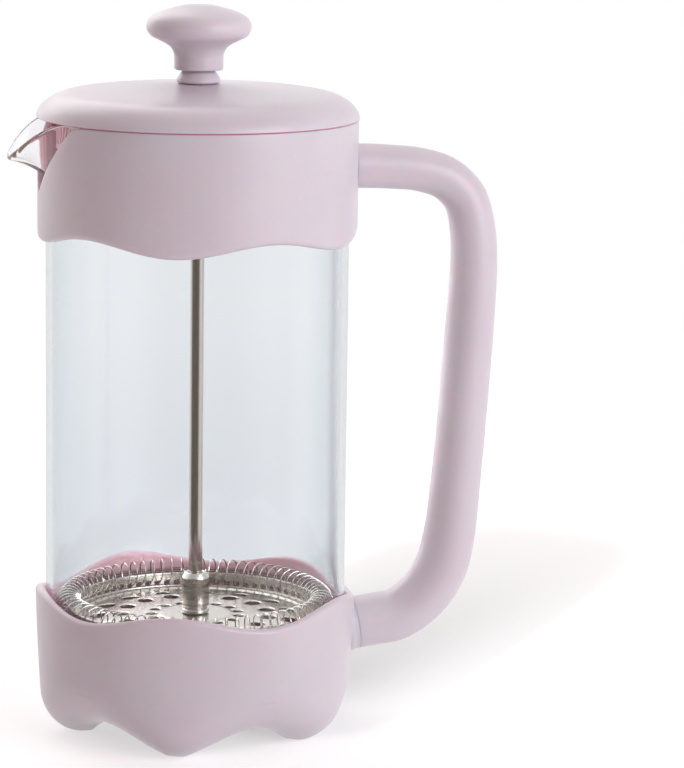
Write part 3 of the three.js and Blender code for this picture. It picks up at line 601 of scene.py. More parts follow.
FINISHES = {
    "moulded_plastic": moulded_plastic,
    "clear_glass": clear_glass,
    "bright_steel": bright_steel,
    "sheet_steel": pressed_steel,
    "woven_wire": woven_wire,
    "brass_insert": turned_brass,
    "zinc_screw": plated_zinc,
}
made_finishes = {}


def finish(name):
    """The material of that name, made when it is first asked for."""
    if name not in made_finishes:
        made_finishes[name] = FINISHES[name]()
    return made_finishes[name]


class Piece:
    """What the operators of the pieces share: each makes its pieces from the sizes."""

    def execute(self, context):
        self.make(context.scene.press_sizes)
        return {"FINISHED"}


# Shapes that more than one piece follows

FOOT_COUNT = 5
STUB_RISE = 8.4 * DEGREE
STUB_AXIS = np.array([math.cos(STUB_RISE), 0, math.sin(STUB_RISE)])
SPOUT_HALF = 27 * DEGREE
NOTCH_HALF = 31 * DEGREE
CROWDING = 0.35


def wave(angle):
    """1 at each foot and -1 midway between two feet, a cosine of five times the angle."""
    return np.cos(FOOT_COUNT * (angle - np.pi))


def crowded(steps):
    """Angles of one full turn, closer together at the spout: each has its sine, times a share, added."""
    return turns(steps) + CROWDING * np.sin(turns(steps))


def stub_point(sizes, distance):
    """A point on the stub's axis, so far out from the face of the base."""
    start = np.array([AXIS_X + sizes.frame_bore + sizes.base_wall, 0, sizes.stub_height])
    return start + distance * STUB_AXIS


def soft_larger(value, softness):
    """The larger of a value and zero, with the corner at zero rounded off."""
    return (value + np.sqrt(value**2 + softness**2)) / 2


# Moulded frame


def base_points(sizes, steps=300):
    """Section of the base at each angle: a rounded rim on the wave, the bore, a ledge under the glass,
    and a skirt that turns in by a quarter ellipse to a foot, lifted into an arch between two feet by a
    power of how far the angle is from the foot."""
    angle = turns(steps)[:, None]
    top = sizes.base_height + sizes.base_wave * wave(angle)
    pad_share, arch_power, wall_power = 0.03, 0.76, 1.5
    arch_share = (1 - wave(angle)) / 2
    lift = sizes.arch_height * soft_larger((arch_share - pad_share) / (1 - pad_share), 0.01) ** arch_power
    outer = sizes.frame_bore + sizes.base_wall
    corner_radius = outer - sizes.base_taper - sizes.foot_corner
    turn_height = sizes.foot_corner + (sizes.arch_corner - sizes.foot_corner) * arch_share
    corner_height = lift + turn_height
    inner_height = turn_height - sizes.base_wall
    ledge_bottom = sizes.ledge_height - sizes.ledge_wall
    rise = np.clip((ledge_bottom - corner_height) / inner_height, -1, 0)
    lip = sizes.base_wall / 2
    pad_inner = corner_radius - sizes.foot_pad
    toe = 0.5 * MM
    rim = arc(sizes.frame_bore + lip, top - lip, lip, 0, np.pi, 18)
    ledge = rounded([
        [sizes.frame_bore, sizes.ledge_height + 4 * MM],
        [sizes.frame_bore, sizes.ledge_height],
        [sizes.ledge_opening, sizes.ledge_height],
        [sizes.ledge_opening, ledge_bottom],
        [sizes.ledge_opening + 5 * MM, ledge_bottom],
    ], [0, 1.2, 0.8, 0.8, 0])
    inside = oval(corner_radius, corner_height, sizes.foot_corner - sizes.base_wall, inner_height,
                  np.arcsin(rise), -np.pi / 2, 12)
    toe_top = arc(pad_inner + toe, lift + sizes.base_wall - toe, toe, np.pi / 2, np.pi, 4)
    toe_bottom = arc(pad_inner + toe, lift + toe, toe, np.pi, 1.5 * np.pi, 4)
    outside = oval(corner_radius, corner_height, sizes.foot_corner, turn_height, -np.pi / 2, 0, 28)
    share = np.linspace(0, 1, 14)[1:-1]
    wall_radius = outer - sizes.base_taper * (1 - share) ** wall_power
    wall = pairs(wall_radius, corner_height * (1 - share) + (top - lip) * share)
    return around(angle, section(steps, rim, ledge, inside, toe_top, toe_bottom, outside, wall))


class PRESS_OT_base(Piece, bpy.types.Operator):
    """Make the base with its feet and the stub for the handle"""

    bl_idname = "press.base"
    bl_label = "Base"

    def make(self, sizes):
        cup = sheet_surface("base_moulding", base_points(sizes))
        carved(cup, stub_point(sizes, -sizes.base_wall - 5 * MM), STUB_AXIS, 7.4 * MM)
        settle(cup, "frame", "moulded_plastic", "base_cup")
        stub = sheet_surface("handle_stub", self.stub_points(sizes))
        settle(stub, "frame", "moulded_plastic", "base_cup")

    @staticmethod
    def stub_points(sizes, steps=96):
        """Rings about the stub's axis: from within the base's wall out along a straight stretch that
        swells a little at the wall, then a rounded edge at the seam, and the bore for the screw."""
        sink, edge, bore, flare = 2.4 * MM, 0.12 * MM, 1.9 * MM, 0.5 * MM
        angle = turns(steps)[:, None]
        across = np.array([0.0, 1.0, 0.0])
        normal = np.cross(across, STUB_AXIS)
        outward = np.cos(angle) * across + np.sin(angle) * normal

        def ring(radius, distance):
            return stub_point(sizes, distance) + radius * outward

        rings = [ring(bore, -sink)]
        for distance in np.linspace(-sink, sizes.stub_length - edge, 10):
            near = np.clip(1 - (distance + 0.8 * MM) / (1.4 * MM), 0, 1)
            rings.append(ring(sizes.stub_radius + flare * near**2, distance))
        for turn in np.linspace(0, np.pi / 2, 5)[1:]:
            rings.append(ring(sizes.stub_radius - edge * (1 - math.cos(turn)),
                              sizes.stub_length - edge * (1 - math.sin(turn))))
        rings.append(ring(bore, sizes.stub_length))
        return np.stack(rings)


def collar_points(sizes, steps=480):
    """Section of the collar at each angle: a rounded top edge that dips in a V at the spout, and a
    rounded lower edge on the wave."""
    angle = crowded(steps)[:, None]
    slope = COLLAR_TOP - sizes.notch_depth * (1 - np.abs(angle - np.pi) / NOTCH_HALF)
    softness = 1.6 * MM
    top = (slope + COLLAR_TOP - np.hypot(slope - COLLAR_TOP, softness)) / 2
    foot_soft = COLLAR_TOP - sizes.notch_depth
    top = foot_soft + soft_larger(top - foot_soft, 1.2 * MM)
    bottom = COLLAR_TOP - sizes.collar_height - sizes.collar_wave * wave(angle)
    outer = sizes.frame_bore + sizes.collar_wall
    rim_round = 0.6 * MM
    rim = section(
        steps,
        arc(outer - rim_round, top - rim_round, rim_round, 0, np.pi / 2, 6),
        arc(sizes.frame_bore + rim_round, top - rim_round, rim_round, np.pi / 2, np.pi, 6),
    )
    inner_round = 0.4 * MM
    tall = sizes.collar_round
    wide = sizes.collar_wall - inner_round - 0.2 * MM
    inside = arc(sizes.frame_bore + inner_round, bottom + inner_round, inner_round, np.pi, 1.5 * np.pi, 4)
    outside = oval(outer - wide, bottom + tall, wide, tall, -np.pi / 2, 0, 12)
    share = np.linspace(0, 1, 10)[1:-1]
    wall = pairs(outer, (bottom + tall) * (1 - share) + (top - rim_round) * share)
    return around(angle, section(steps, rim, inside, outside, wall))


class PRESS_OT_collar(Piece, bpy.types.Operator):
    """Make the collar round the rim"""

    bl_idname = "press.collar"
    bl_label = "Collar"

    def make(self, sizes):
        collar = sheet_surface("collar_moulding", collar_points(sizes))
        inside = [AXIS_X + sizes.frame_bore - 4 * MM, 0, COLLAR_TOP - sizes.handle_drop]
        carved(collar, inside, [1, 0, 0], 5.8 * MM)
        settle(collar, "frame", "moulded_plastic", "upper_collar")


def handle_points(sizes, sides=48, steps=220):
    """Rings along the handle's middle line, which is smooth through points given as shares of its reach
    and height. Each ring is square to the line; the first lies on the collar and the last at the seam."""
    path_shares = [
        [-0.06, 1], [0.111, 0.9995], [0.286, 0.997], [0.538, 0.99], [0.755, 0.97], [0.912, 0.929],
        [0.98, 0.867], [1, 0.79], [0.98, 0.669], [0.947, 0.535], [0.915, 0.408], [0.879, 0.294],
        [0.847, 0.207], [0.775, 0.119], [0.628, 0.057], [0.412, 0.016],
    ]
    radius_shares = [0.9, 0.87, 0.87, 0.93, 0.97, 0.99, 1, 1, 1.03, 1.08, 1.07, 1.06]
    face = sizes.frame_bore + sizes.collar_wall
    top = COLLAR_TOP - sizes.handle_drop
    bottom = stub_point(sizes, sizes.stub_length)[2]
    reach, rise = sizes.handle_reach - face, top - bottom
    middle = [[AXIS_X + face + r * reach, 0, bottom + h * rise] for r, h in path_shares]
    seam = sizes.stub_length + 0.1 * MM
    middle += [stub_point(sizes, distance) for distance in (sizes.stub_length + 6 * MM, seam)]
    path = evenly(smooth_line(middle, 3000), steps)
    along = np.gradient(path, axis=0)
    along /= np.linalg.norm(along, axis=1)[:, None]
    share = np.linspace(0, 1, steps)
    spots = np.linspace(0, 1, len(radius_shares))
    thick = np.interp(share, spots, radius_shares)
    blur = np.hanning(31) / np.hanning(31).sum()
    thick = np.convolve(np.pad(thick, 15, mode="edge"), blur, mode="valid") * sizes.handle_radius
    outward = path[:, 0] > AXIS_X + face + 1.0 * MM
    path, along, thick = path[outward], along[outward], thick[outward]
    across = np.array([0.0, 1.0, 0.0])
    normal = np.cross(along, across)
    angle = turns(sides)

    def ring(centre, lift, radius):
        return centre + radius * (np.cos(angle)[:, None] * lift + np.sin(angle)[:, None] * across)

    rings = [ring(c, n, r) for c, n, r in zip(path, normal, thick)]
    bore, deep, edge = 3.4 * MM, 13 * MM, 0.12 * MM

    def on_collar(radius):
        points = ring(path[0], normal[0], radius)
        points[:, 0] = AXIS_X + np.sqrt((face + sizes.gap) ** 2 - points[:, 1] ** 2)
        return points

    inward = [deep, 0, 0]
    start = [on_collar(0) + inward, on_collar(bore) + inward, on_collar(bore), on_collar(thick[0])]
    last, back = path[-1], along[-1]
    end = [
        ring(last - back * edge * (1 - math.sin(t)), normal[-1], thick[-1] - edge * (1 - math.cos(t)))
        for t in np.linspace(0, np.pi / 2, 6)
    ]
    end += [ring(last, normal[-1], bore), ring(last - back * deep, normal[-1], bore)]
    end.append(ring(last - back * deep, normal[-1], 0))
    return np.stack(start + rings[:-3] + end)


class PRESS_OT_handle(Piece, bpy.types.Operator):
    """Make the loop handle"""

    bl_idname = "press.handle"
    bl_label = "Handle"

    def make(self, sizes):
        grip = sheet_surface("handle_grip", handle_points(sizes), False, True)
        settle(grip, "frame", "moulded_plastic", "handle")


class PRESS_OT_fasteners(Piece, bpy.types.Operator):
    """Make the screws and threaded inserts of handle and knob"""

    bl_idname = "press.fasteners"
    bl_label = "Fasteners"

    def make(self, sizes):
        face = sizes.frame_bore + sizes.collar_wall
        top = COLLAR_TOP - sizes.handle_drop
        outward = np.array([1.0, 0, 0])
        shaft, head, tall, long = 1.6 * MM, 3.4 * MM, 1.5 * MM, 13 * MM
        socket = 1.1 * MM
        screw = rounded([
            [0, tall / 2], [socket, tall / 2], [socket, 0], [head, 0], [head, tall], [shaft, tall],
            [shaft, long - shaft], [shaft / 2, long], [0, long],
        ], [0, 0, 0.15, 0.4, 0.1, 0.2, 0, 0, 0])
        insert = rounded([
            [1.9 * MM, 4 * MM], [1.9 * MM, 0], [3.1 * MM, 0], [3.1 * MM, 8 * MM], [1.9 * MM, 8 * MM],
            [1.9 * MM, 4.1 * MM],
        ], [0, 0.2, 0.3, 0.3, 0.2, 0])
        top_screw = np.array([AXIS_X + sizes.frame_bore + sizes.gap / 2, 0, top])
        top_insert = np.array([AXIS_X + face + sizes.gap + 2 * MM, 0, top])
        places = (
            ("top_screw", screw, top_screw, outward, "zinc_screw", "handle_top_screw"),
            ("bottom_screw", screw, stub_point(sizes, 2 * sizes.gap - sizes.base_wall), STUB_AXIS,
             "zinc_screw", "handle_bottom_screw"),
            ("top_insert", insert, top_insert, outward, "brass_insert", "handle_top_insert"),
            ("bottom_insert", insert, stub_point(sizes, sizes.stub_length + sizes.gap + 2 * MM), STUB_AXIS,
             "brass_insert", "handle_bottom_insert"),
        )
        for name, profile, start, axis, slot, node in places:
            part = sheet_surface(name, laid(profile, start, axis), True, profile[0][0] > 0)
            settle(part, "frame", slot, node)
        low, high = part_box("knob_insert")
        wide, bore = (high.y - low.y) / 2, sizes.rod_radius + sizes.gap
        nut = turned("knob_nut", rounded([
            [bore, (low.z + high.z) / 2], [bore, low.z], [wide, low.z], [wide, high.z], [bore, high.z],
            [bore, (low.z + high.z) / 2 + MM],
        ], [0, 0.3, 0.3, 0.3, 0.3, 0]))
        settle(nut, "plunger", "brass_insert", "knob_insert")


# Glass


def beaker_points(sizes, steps=360):
    """Section of the beaker at each angle. The outer wall stands at the beaker's radius, and inside the
    spout's V it is drawn out and down by powers of how far it has risen and how close it is to the
    middle. The inner wall lies one wall thickness along its normal, and a half circle joins the two."""
    angle = crowded(steps)
    off = np.minimum(np.abs(angle - np.pi) / SPOUT_HALF, 1)[:, None]
    draw = (1 + np.cos(np.pi * off)) / 2
    start_share, least = 0.34, 1e-9
    reach = sizes.spout_reach * draw**0.9
    dip = sizes.spout_dip * draw**1.5

    def wall_point(share):
        above = np.where(off < 1, np.maximum(0, 1 - (1 - share) / np.maximum(1 - off, least)), 0)
        risen = np.maximum(0, (above - start_share) / (1 - start_share))
        height = BEAKER_TOP - sizes.spout_depth * (1 - share) - dip * risen**1.3
        return pairs(sizes.beaker_radius + reach * risen**1.1, height)

    rim = sizes.beaker_wall / 2
    share = np.linspace(0, 1 - rim / sizes.spout_depth, 40)[None]
    step = 0.01
    along = wall_point(share + step) - wall_point(share - step)
    along /= np.linalg.norm(along, axis=-1, keepdims=True)
    normal = np.stack([-along[..., 1], along[..., 0]], axis=-1)
    outside = wall_point(share)
    inside = outside + sizes.beaker_wall * normal
    centre = (outside[:, -1:] + inside[:, -1:]) / 2
    spin = np.linspace(0, np.pi, 13)[1:-1, None]
    bead = centre - normal[:, -1:] * rim * np.cos(spin) + along[:, -1:] * rim * np.sin(spin)
    low = BEAKER_TOP - sizes.spout_depth
    bottom, corner = BEAKER_BOTTOM, sizes.beaker_corner
    radius, thick = sizes.beaker_radius, sizes.beaker_wall
    inner = radius - thick
    inner_floor = bottom + sizes.beaker_floor
    rise = np.linspace(0, 1, 12)[1:-1, None]
    heights = bottom + corner + (low - bottom - corner) * rise
    return around(angle, section(
        steps,
        [[0, bottom + 0.6 * MM], [radius * 0.4, bottom + 0.4 * MM], [radius * 0.7, bottom]],
        arc(radius - corner, bottom + corner, corner, -np.pi / 2, 0, 12),
        np.concatenate([radius + 0 * heights, heights], axis=1),
        outside, bead, inside[:, ::-1],
        np.concatenate([inner + 0 * heights, heights], axis=1)[::-1],
        arc(inner - corner, inner_floor + corner, corner, 0, -np.pi / 2, 12),
        [[radius * 0.4, inner_floor], [0, inner_floor]],
    ))


class PRESS_OT_beaker(Piece, bpy.types.Operator):
    """Make the glass beaker with its spout"""

    bl_idname = "press.beaker"
    bl_label = "Beaker"

    def make(self, sizes):
        beaker = sheet_surface("beaker_glass", beaker_points(sizes), True, False)
        settle(beaker, "beaker", "clear_glass", "glass_beaker")
        beaker.visible_shadow = False


# Lid


class PRESS_OT_lid(Piece, bpy.types.Operator):
    """Make the domed lid, its strainer and the bush that guides the rod"""

    bl_idname = "press.lid"
    bl_label = "Lid"

    def make(self, sizes):
        lid = turned("lid_shell", self.lid_profile(sizes), 192)
        settle(lid, "lid", "moulded_plastic", "lid_cover")
        settle(self.strainer(sizes), "lid", "moulded_plastic", "lid_strainer")
        bush = turned("bush_dome", self.bush_profile(sizes))
        settle(bush, "lid_guide", "moulded_plastic", "guide_bush")

    @staticmethod
    def lid_profile(sizes):
        """Outline whose radius and height are the lid's times shares: one less the height's share to the
        power 1.5 is the radius's share to the power 8.8, plus a low cone towards the middle. The inside
        is the same outline one wall lower."""
        shoulder, brim = 8.3 * MM, 0.3 * MM
        hole = 4.5 * MM
        landing = sizes.skirt_radius + 0.5 * MM
        share = np.concatenate([np.linspace(0, 0.9, 300), 1 - np.geomspace(0.1, 1e-9, 600)[1:]])
        radius = sizes.lid_radius * (1 - share**1.5) ** (1 / 8.8)
        cone = 2.46 * MM * np.maximum(0, 1 - radius / (0.75 * sizes.lid_radius)) ** 1.3
        height = np.minimum(LID_BOTTOM + brim + shoulder * share + cone, LID_TOP)
        outside = evenly(np.stack([radius, height], axis=1)[radius > hole], 150)
        under = outside[(outside[:, 0] < 0.86 * sizes.lid_radius) & (outside[:, 0] > hole + 2 * MM)][::-4]
        under = under - [0, sizes.lid_wall]
        lower = rounded([
            [landing, LID_BOTTOM + sizes.lid_wall], [landing, LID_BOTTOM],
            [outside[0, 0], LID_BOTTOM], outside[0],
        ], [0, 0.4, 0.25, 0])
        return np.concatenate([
            lower, outside[1:], [[hole, LID_TOP], [hole, LID_TOP - sizes.lid_wall]], under,
        ])

    @staticmethod
    def strainer(sizes):
        """A plate and a skirt as one sheet: its section runs along the plate and turns down at the rim.
        Slots are left out of the skirt on the side of the spout."""
        plate = LID_BOTTOM + sizes.lid_wall - sizes.skirt_wall
        bottom = BEAKER_TOP - sizes.skirt_depth
        inner = sizes.skirt_radius - sizes.skirt_wall
        slots = [bottom + 1.8 * MM, bottom + 7.3 * MM]
        profile = np.concatenate([
            rounded([[4.5 * MM, plate], [inner, plate], [inner, slots[1] + 1 * MM]], [0, 1.5, 0]),
            [[inner, slots[1]]], line([inner, slots[1]], [inner, slots[0]], 4)[1:],
            [[inner, slots[0]], [inner, bottom]],
        ])
        steps = 360
        grid = around(turns(steps), profile[None])
        faces = grid_faces(steps, len(profile), True, False)
        middle = grid.reshape(-1, 3)[faces].mean(axis=1)
        angle = np.degrees(np.arctan2(middle[:, 1], -(middle[:, 0] - AXIS_X)))
        slotted, pitch = 19, 4  # degrees to each side of the spout, and from slot to slot
        within = (middle[:, 2] > slots[0]) & (middle[:, 2] < slots[1]) & (np.abs(angle) < slotted)
        open_slot = within & (np.floor(angle + 360) % pitch < pitch / 2)
        made = surface("lid_skirt", grid, faces[~open_slot])
        return thickened(made, sizes.skirt_wall)

    @staticmethod
    def bush_profile(sizes):
        """A small dome that rests on the lid, rounded at its foot, and a sleeve through the lid."""
        bore, sleeve = sizes.rod_radius + sizes.gap, 4.2 * MM
        low, foot, top = BUSH_BOTTOM, 6.9 * MM, 5.15 * MM
        dome = smooth_line([
            [foot - 0.5 * MM, low], [foot, low + 0.5 * MM], [foot - 0.1 * MM, low + 1.2 * MM],
            [foot - 0.7 * MM, low + 2.3 * MM], [top + 0.35 * MM, BUSH_TOP - 0.5 * MM],
            [top - 0.3 * MM, BUSH_TOP],
        ], 24)
        return np.concatenate([
            [[sleeve, SLEEVE_BOTTOM], [sleeve, low]], dome, [[bore, BUSH_TOP], [bore, SLEEVE_BOTTOM]],
        ])


class PRESS_OT_knob(Piece, bpy.types.Operator):
    """Make the mushroom-shaped knob"""

    bl_idname = "press.knob"
    bl_label = "Knob"

    def make(self, sizes):
        knob = turned("knob_cap", self.profile(sizes), 160)
        settle(knob, "plunger", "moulded_plastic", "knob")

    @staticmethod
    def profile(sizes):
        """Smooth outline through points given as shares of the knob's radius and height, with the bore
        for the threaded insert below."""
        neck = sizes.knob_neck / sizes.knob_radius
        outline_shares = [
            [neck, 0.05], [neck, 0.14], [neck, 0.22], [0.495, 0.28], [0.54, 0.34], [0.64, 0.4], [0.79, 0.46],
            [0.91, 0.51], [0.973, 0.57], [1, 0.63], [0.995, 0.7], [0.955, 0.77], [0.87, 0.83], [0.74, 0.88],
            [0.5, 0.94], [0.25, 0.985], [0, 1],
        ]
        tall = KNOB_TOP - KNOB_BOTTOM
        points = [[sizes.knob_radius * r, KNOB_BOTTOM + tall * h] for r, h in outline_shares]
        outside = smooth_line(points, 120)
        bore = 3.9 * MM
        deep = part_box("knob_insert")[1].z + sizes.gap
        lower = rounded([
            [0, deep], [bore, deep], [bore, KNOB_BOTTOM], [sizes.knob_neck, KNOB_BOTTOM], outside[0],
        ], [0, 0, 0.3, 0.6, 0])
        return np.concatenate([lower, outside[1:]])


# Plunger


class PRESS_OT_rod(Piece, bpy.types.Operator):
    """Make the rod, the sleeve at its foot and the clamping stud"""

    bl_idname = "press.rod"
    bl_label = "Rod and hub"

    def make(self, sizes):
        low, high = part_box("plunger_rod")
        wide = sizes.rod_radius
        rod = turned("rod_shaft", rounded([
            [0, low.z], [wide, low.z], [wide, high.z], [0, high.z],
        ], [0, 0.3, 0.7, 0]), 64)
        settle(rod, "plunger", "bright_steel", "plunger_rod")
        bore, body, groove = wide + sizes.gap, sizes.hub_radius, sizes.hub_radius - 0.5 * MM
        chamfer, neck = 1.8 * MM, 1.1 * MM
        hub = turned("hub_sleeve", rounded([
            [bore, (HUB_BOTTOM + HUB_TOP) / 2], [bore, HUB_BOTTOM], [body, HUB_BOTTOM],
            [body, HUB_BOTTOM + neck], [groove, HUB_BOTTOM + neck], [groove, HUB_BOTTOM + 2 * neck],
            [body, HUB_BOTTOM + 2 * neck], [body, HUB_TOP - chamfer], [body - chamfer / 2, HUB_TOP],
            [bore, HUB_TOP], [bore, (HUB_BOTTOM + HUB_TOP) / 2 + MM],
        ], [0, 0.1, 0.3, 0.3, 0.15, 0.15, 0.3, 0.7, 0.5, 0.4, 0]), 96)
        settle(hub, "plunger", "bright_steel", "filter_hub")
        low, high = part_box("clamp_stud")
        head, tall = 4.6 * MM, 1.8 * MM
        stud = turned("stud_head", rounded([
            [0, low.z + 0.9 * MM], [1.6 * MM, low.z + 0.9 * MM], [1.6 * MM, low.z], [head, low.z],
            [head, low.z + tall], [wide, low.z + tall], [wide, high.z], [0, high.z],
        ], [0, 0, 0.2, 0.6, 0.2, 0.1, 0.4, 0]), 64)
        settle(stud, "plunger", "bright_steel", "clamp_stud")


PAD_RADIUS = 11.2 * MM  # of the raised middle of the pan
WINDOW_STEPS = 5  # points along the pan's wall from one window to the next
WINDOW_OPEN = 3  # of which a window spans this many
HOLE_COUNT = 15
HOLE_TURN = 3.5 * DEGREE


def pan_step(sizes):
    """Angle between two points of the pan's wall."""
    return 2 * np.pi / (sizes.spring_turns * WINDOW_STEPS)


def pan_start():
    """Angle at which the first sector of holes starts."""
    return HOLE_TURN - np.pi / HOLE_COUNT


def cell_border(near, far, span, along, across):
    """Border of a sector of a ring about the axis, counter-clockwise, as (radius, angle): along the near
    edge backwards, then up one side, along the far edge and down the other side."""
    go = np.arange(along) / along
    up = np.arange(across) / across
    radius = np.concatenate([near + 0 * go, near + (far - near) * up, far + 0 * go, far + (near - far) * up])
    angle = np.concatenate([(0.5 - go) * span, -span / 2 + 0 * up, (go - 0.5) * span, span / 2 + 0 * up])
    return radius, angle


def sector_with_hole(near, far, span, along, across, hole_ring, hole_radius, shares):
    """Points between a round hole and the border of its sector: each lies a share of the way from the
    hole's edge, seen from the hole's middle in the same direction, to the border."""
    radius, angle = cell_border(near, far, span, along, across)
    x, y = radius * np.cos(angle) - hole_ring, radius * np.sin(angle)
    reach = np.hypot(x, y)
    share = np.asarray(shares)[:, None]
    grow = hole_radius / reach * (1 - share) + share
    return np.stack([hole_ring + x * grow, y * grow], axis=-1)


def facing_up(points, faces):
    """Turns each face towards a point above the middle of the pan."""
    corners = points[faces]
    normal = np.cross(corners[:, 2] - corners[:, 0], corners[:, 3] - corners[:, 1])
    inward = np.array([AXIS_X, 0, FLOOR_BOTTOM + 60 * MM]) - corners.mean(axis=1)
    wrong = (normal * inward).sum(axis=1) < 0
    return np.where(wrong[:, None], faces[:, ::-1], faces)


class PRESS_OT_pan(Piece, bpy.types.Operator):
    """Make the holed spiral plate whose wall carries the spring in a row of windows"""

    bl_idname = "press.pan"
    bl_label = "Spiral plate"

    def make(self, sizes):
        points, faces = self.sheet(sizes)
        pan = surface("pan_sheet", points, faces, 50 * DEGREE)
        thickened(pan, sizes.pan_sheet, 50 * DEGREE)
        settle(pan, "plunger", "sheet_steel", "spiral_plate")

    @staticmethod
    def floor_height(sizes, radius):
        """Height of the pan's floor: level in the middle, falling to the wall by a smooth step, with a
        pressed rib near the wall."""
        centre = HUB_BOTTOM - sizes.gap
        fall = sizes.pan_drop * smooth_step((radius - sizes.spring_ring + 15 * MM) / (9 * MM))
        rib = 0.55 * MM * np.exp(-(((radius - sizes.spring_ring + 3.1 * MM) / (0.75 * MM)) ** 2))
        dish = 0.35 * MM * smooth_step((radius - PAD_RADIUS) / (1.2 * MM))
        return centre - dish - (fall - dish * smooth_step((radius - 26 * MM) / (9 * MM))) + rib

    def sheet(self, sizes):
        """The pan's upper side as points and faces: sectors with a hole each, plain rings between them,
        and the windowed wall, all with the same number of points round the axis."""
        around_count = sizes.spring_turns * WINDOW_STEPS
        along = around_count // HOLE_COUNT
        span = 2 * np.pi / HOLE_COUNT
        ring = sizes.spring_ring
        edges = [PAD_RADIUS, 18.2 * MM, 27.6 * MM, 35.2 * MM]  # between the rings of holes
        holes = [(0.346 * ring, 1.65 * MM), (0.585 * ring, 2.5 * MM), (0.763 * ring, 2.9 * MM)]  # ring, hole
        shares = [0, 0.08, 0.2, 0.45, 0.72, 1]
        parts, joined, count = [], [], 0

        def take(flat, heights, faces):
            nonlocal count
            parts.append(np.concatenate([flat, heights[..., None]], axis=-1).reshape(-1, 3))
            joined.append(faces + count)
            count += len(parts[-1])

        middles = pan_start() + span * (np.arange(HOLE_COUNT) + 0.5)
        for near, far, (hole_ring, hole_radius) in zip(edges[:-1], edges[1:], holes):
            cell = sector_with_hole(near, far, span, along, 10, hole_ring, hole_radius, shares)
            edge = np.asarray(shares)[:, None] * 2.2 + 0 * cell[..., 0]
            x, y = cell[..., 0], cell[..., 1]
            cell_radius, cell_angle = np.hypot(x, y), np.arctan2(y, x)
            for middle in middles:
                flat = polar(cell_radius, cell_angle + middle)
                height = self.floor_height(sizes, cell_radius)
                height = height - 0.18 * MM * np.exp(-((edge / 0.25) ** 2))
                take(flat, height, grid_faces(len(shares), cell.shape[1], False, True))
        angle = pan_start() + np.arange(around_count) * pan_step(sizes)
        bore = sizes.rod_radius + sizes.gap
        for radii in (np.linspace(bore, edges[0], 9), np.linspace(edges[-1], ring - 1.5 * MM, 16)):
            radius, turn = np.meshgrid(radii, angle, indexing="ij")
            faces = grid_faces(*radius.shape, False, True)
            take(polar(radius, turn), self.floor_height(sizes, radius), faces)
        inner = ring - sizes.pan_sheet / 2
        start = ring - 1.5 * MM
        low = float(self.floor_height(sizes, np.array(start)))
        window = SPRING_TOP - 2 * sizes.spring_radius + sizes.spring_wire / 2
        bottom, top = window - sizes.window_height / 2, window + sizes.window_height / 2
        profile = np.concatenate([
            rounded([[start, low], [inner, low], [inner, bottom]], [0, 0.6, 0]),
            line([inner, bottom], [inner, top], 3)[1:],
            [[inner, top], [inner, (top + WALL_TOP) / 2], [inner, WALL_TOP - 0.3 * MM]],
            [[inner + 0.08 * MM, WALL_TOP - 0.1 * MM], [inner + 0.2 * MM, WALL_TOP]],
        ])
        radius, turn = np.meshgrid(profile[:, 0], angle, indexing="ij")
        height = profile[:, 1:] + 0 * radius
        faces = grid_faces(*radius.shape, False, True)
        row, column = np.divmod(np.arange(len(faces)), around_count)
        middle_height = (profile[row, 1] + profile[row + 1, 1]) / 2
        closed = (middle_height < bottom) | (middle_height > top) | (column % WINDOW_STEPS >= WINDOW_OPEN)
        take(polar(radius, turn), height, faces[closed])
        points = np.concatenate(parts) + [AXIS_X, 0, 0]
        return points, facing_up(points, np.concatenate(joined))


class PRESS_OT_spring(Piece, bpy.types.Operator):
    """Make the ring spring that wipes the glass"""

    bl_idname = "press.spring"
    bl_label = "Ring spring"

    def make(self, sizes):
        spring = sheet_surface("ring_spring", self.points(sizes), False, True)
        settle(spring, "plunger", "bright_steel", "coil_spring")

    @staticmethod
    def points(sizes, steps=26, sides=8):
        """A helix about a circle: while the ring's angle makes one turn, the wire makes one turn about
        the ring's line for each window. Rings of the wire are square to it, with a point at each end."""
        count = sizes.spring_turns
        path_radius = sizes.spring_radius - sizes.spring_wire / 2
        centre_height = SPRING_TOP - sizes.spring_radius
        window = pan_start() + pan_step(sizes) * WINDOW_OPEN / 2
        lowest, trim = 0.75, 0.3  # turns, to where the wire is lowest and what each end leaves out
        turn = np.linspace(trim, count - trim, int((count - 2 * trim) * steps) + 1)
        angle = window + 2 * np.pi * (turn - lowest) / count
        phase = 2 * np.pi * turn
        radius = sizes.spring_ring + path_radius * np.cos(phase)
        wire = polar(radius, angle, centre_height + path_radius * np.sin(phase)) + [AXIS_X, 0, 0]
        along = np.gradient(wire, axis=0)
        along /= np.linalg.norm(along, axis=1)[:, None]
        out = wire - polar(sizes.spring_ring, angle, centre_height) - [AXIS_X, 0, 0]
        out -= (out * along).sum(axis=1)[:, None] * along
        out /= np.linalg.norm(out, axis=1)[:, None]
        side = np.cross(along, out)
        spin = turns(sides)[None, :, None]
        across = np.cos(spin) * out[:, None] + np.sin(spin) * side[:, None]
        rings = wire[:, None] + sizes.spring_wire / 2 * across
        caps = [np.repeat(wire[i][None], sides, axis=0)[None] for i in (0, -1)]
        return np.concatenate([caps[0], rings, caps[1]])


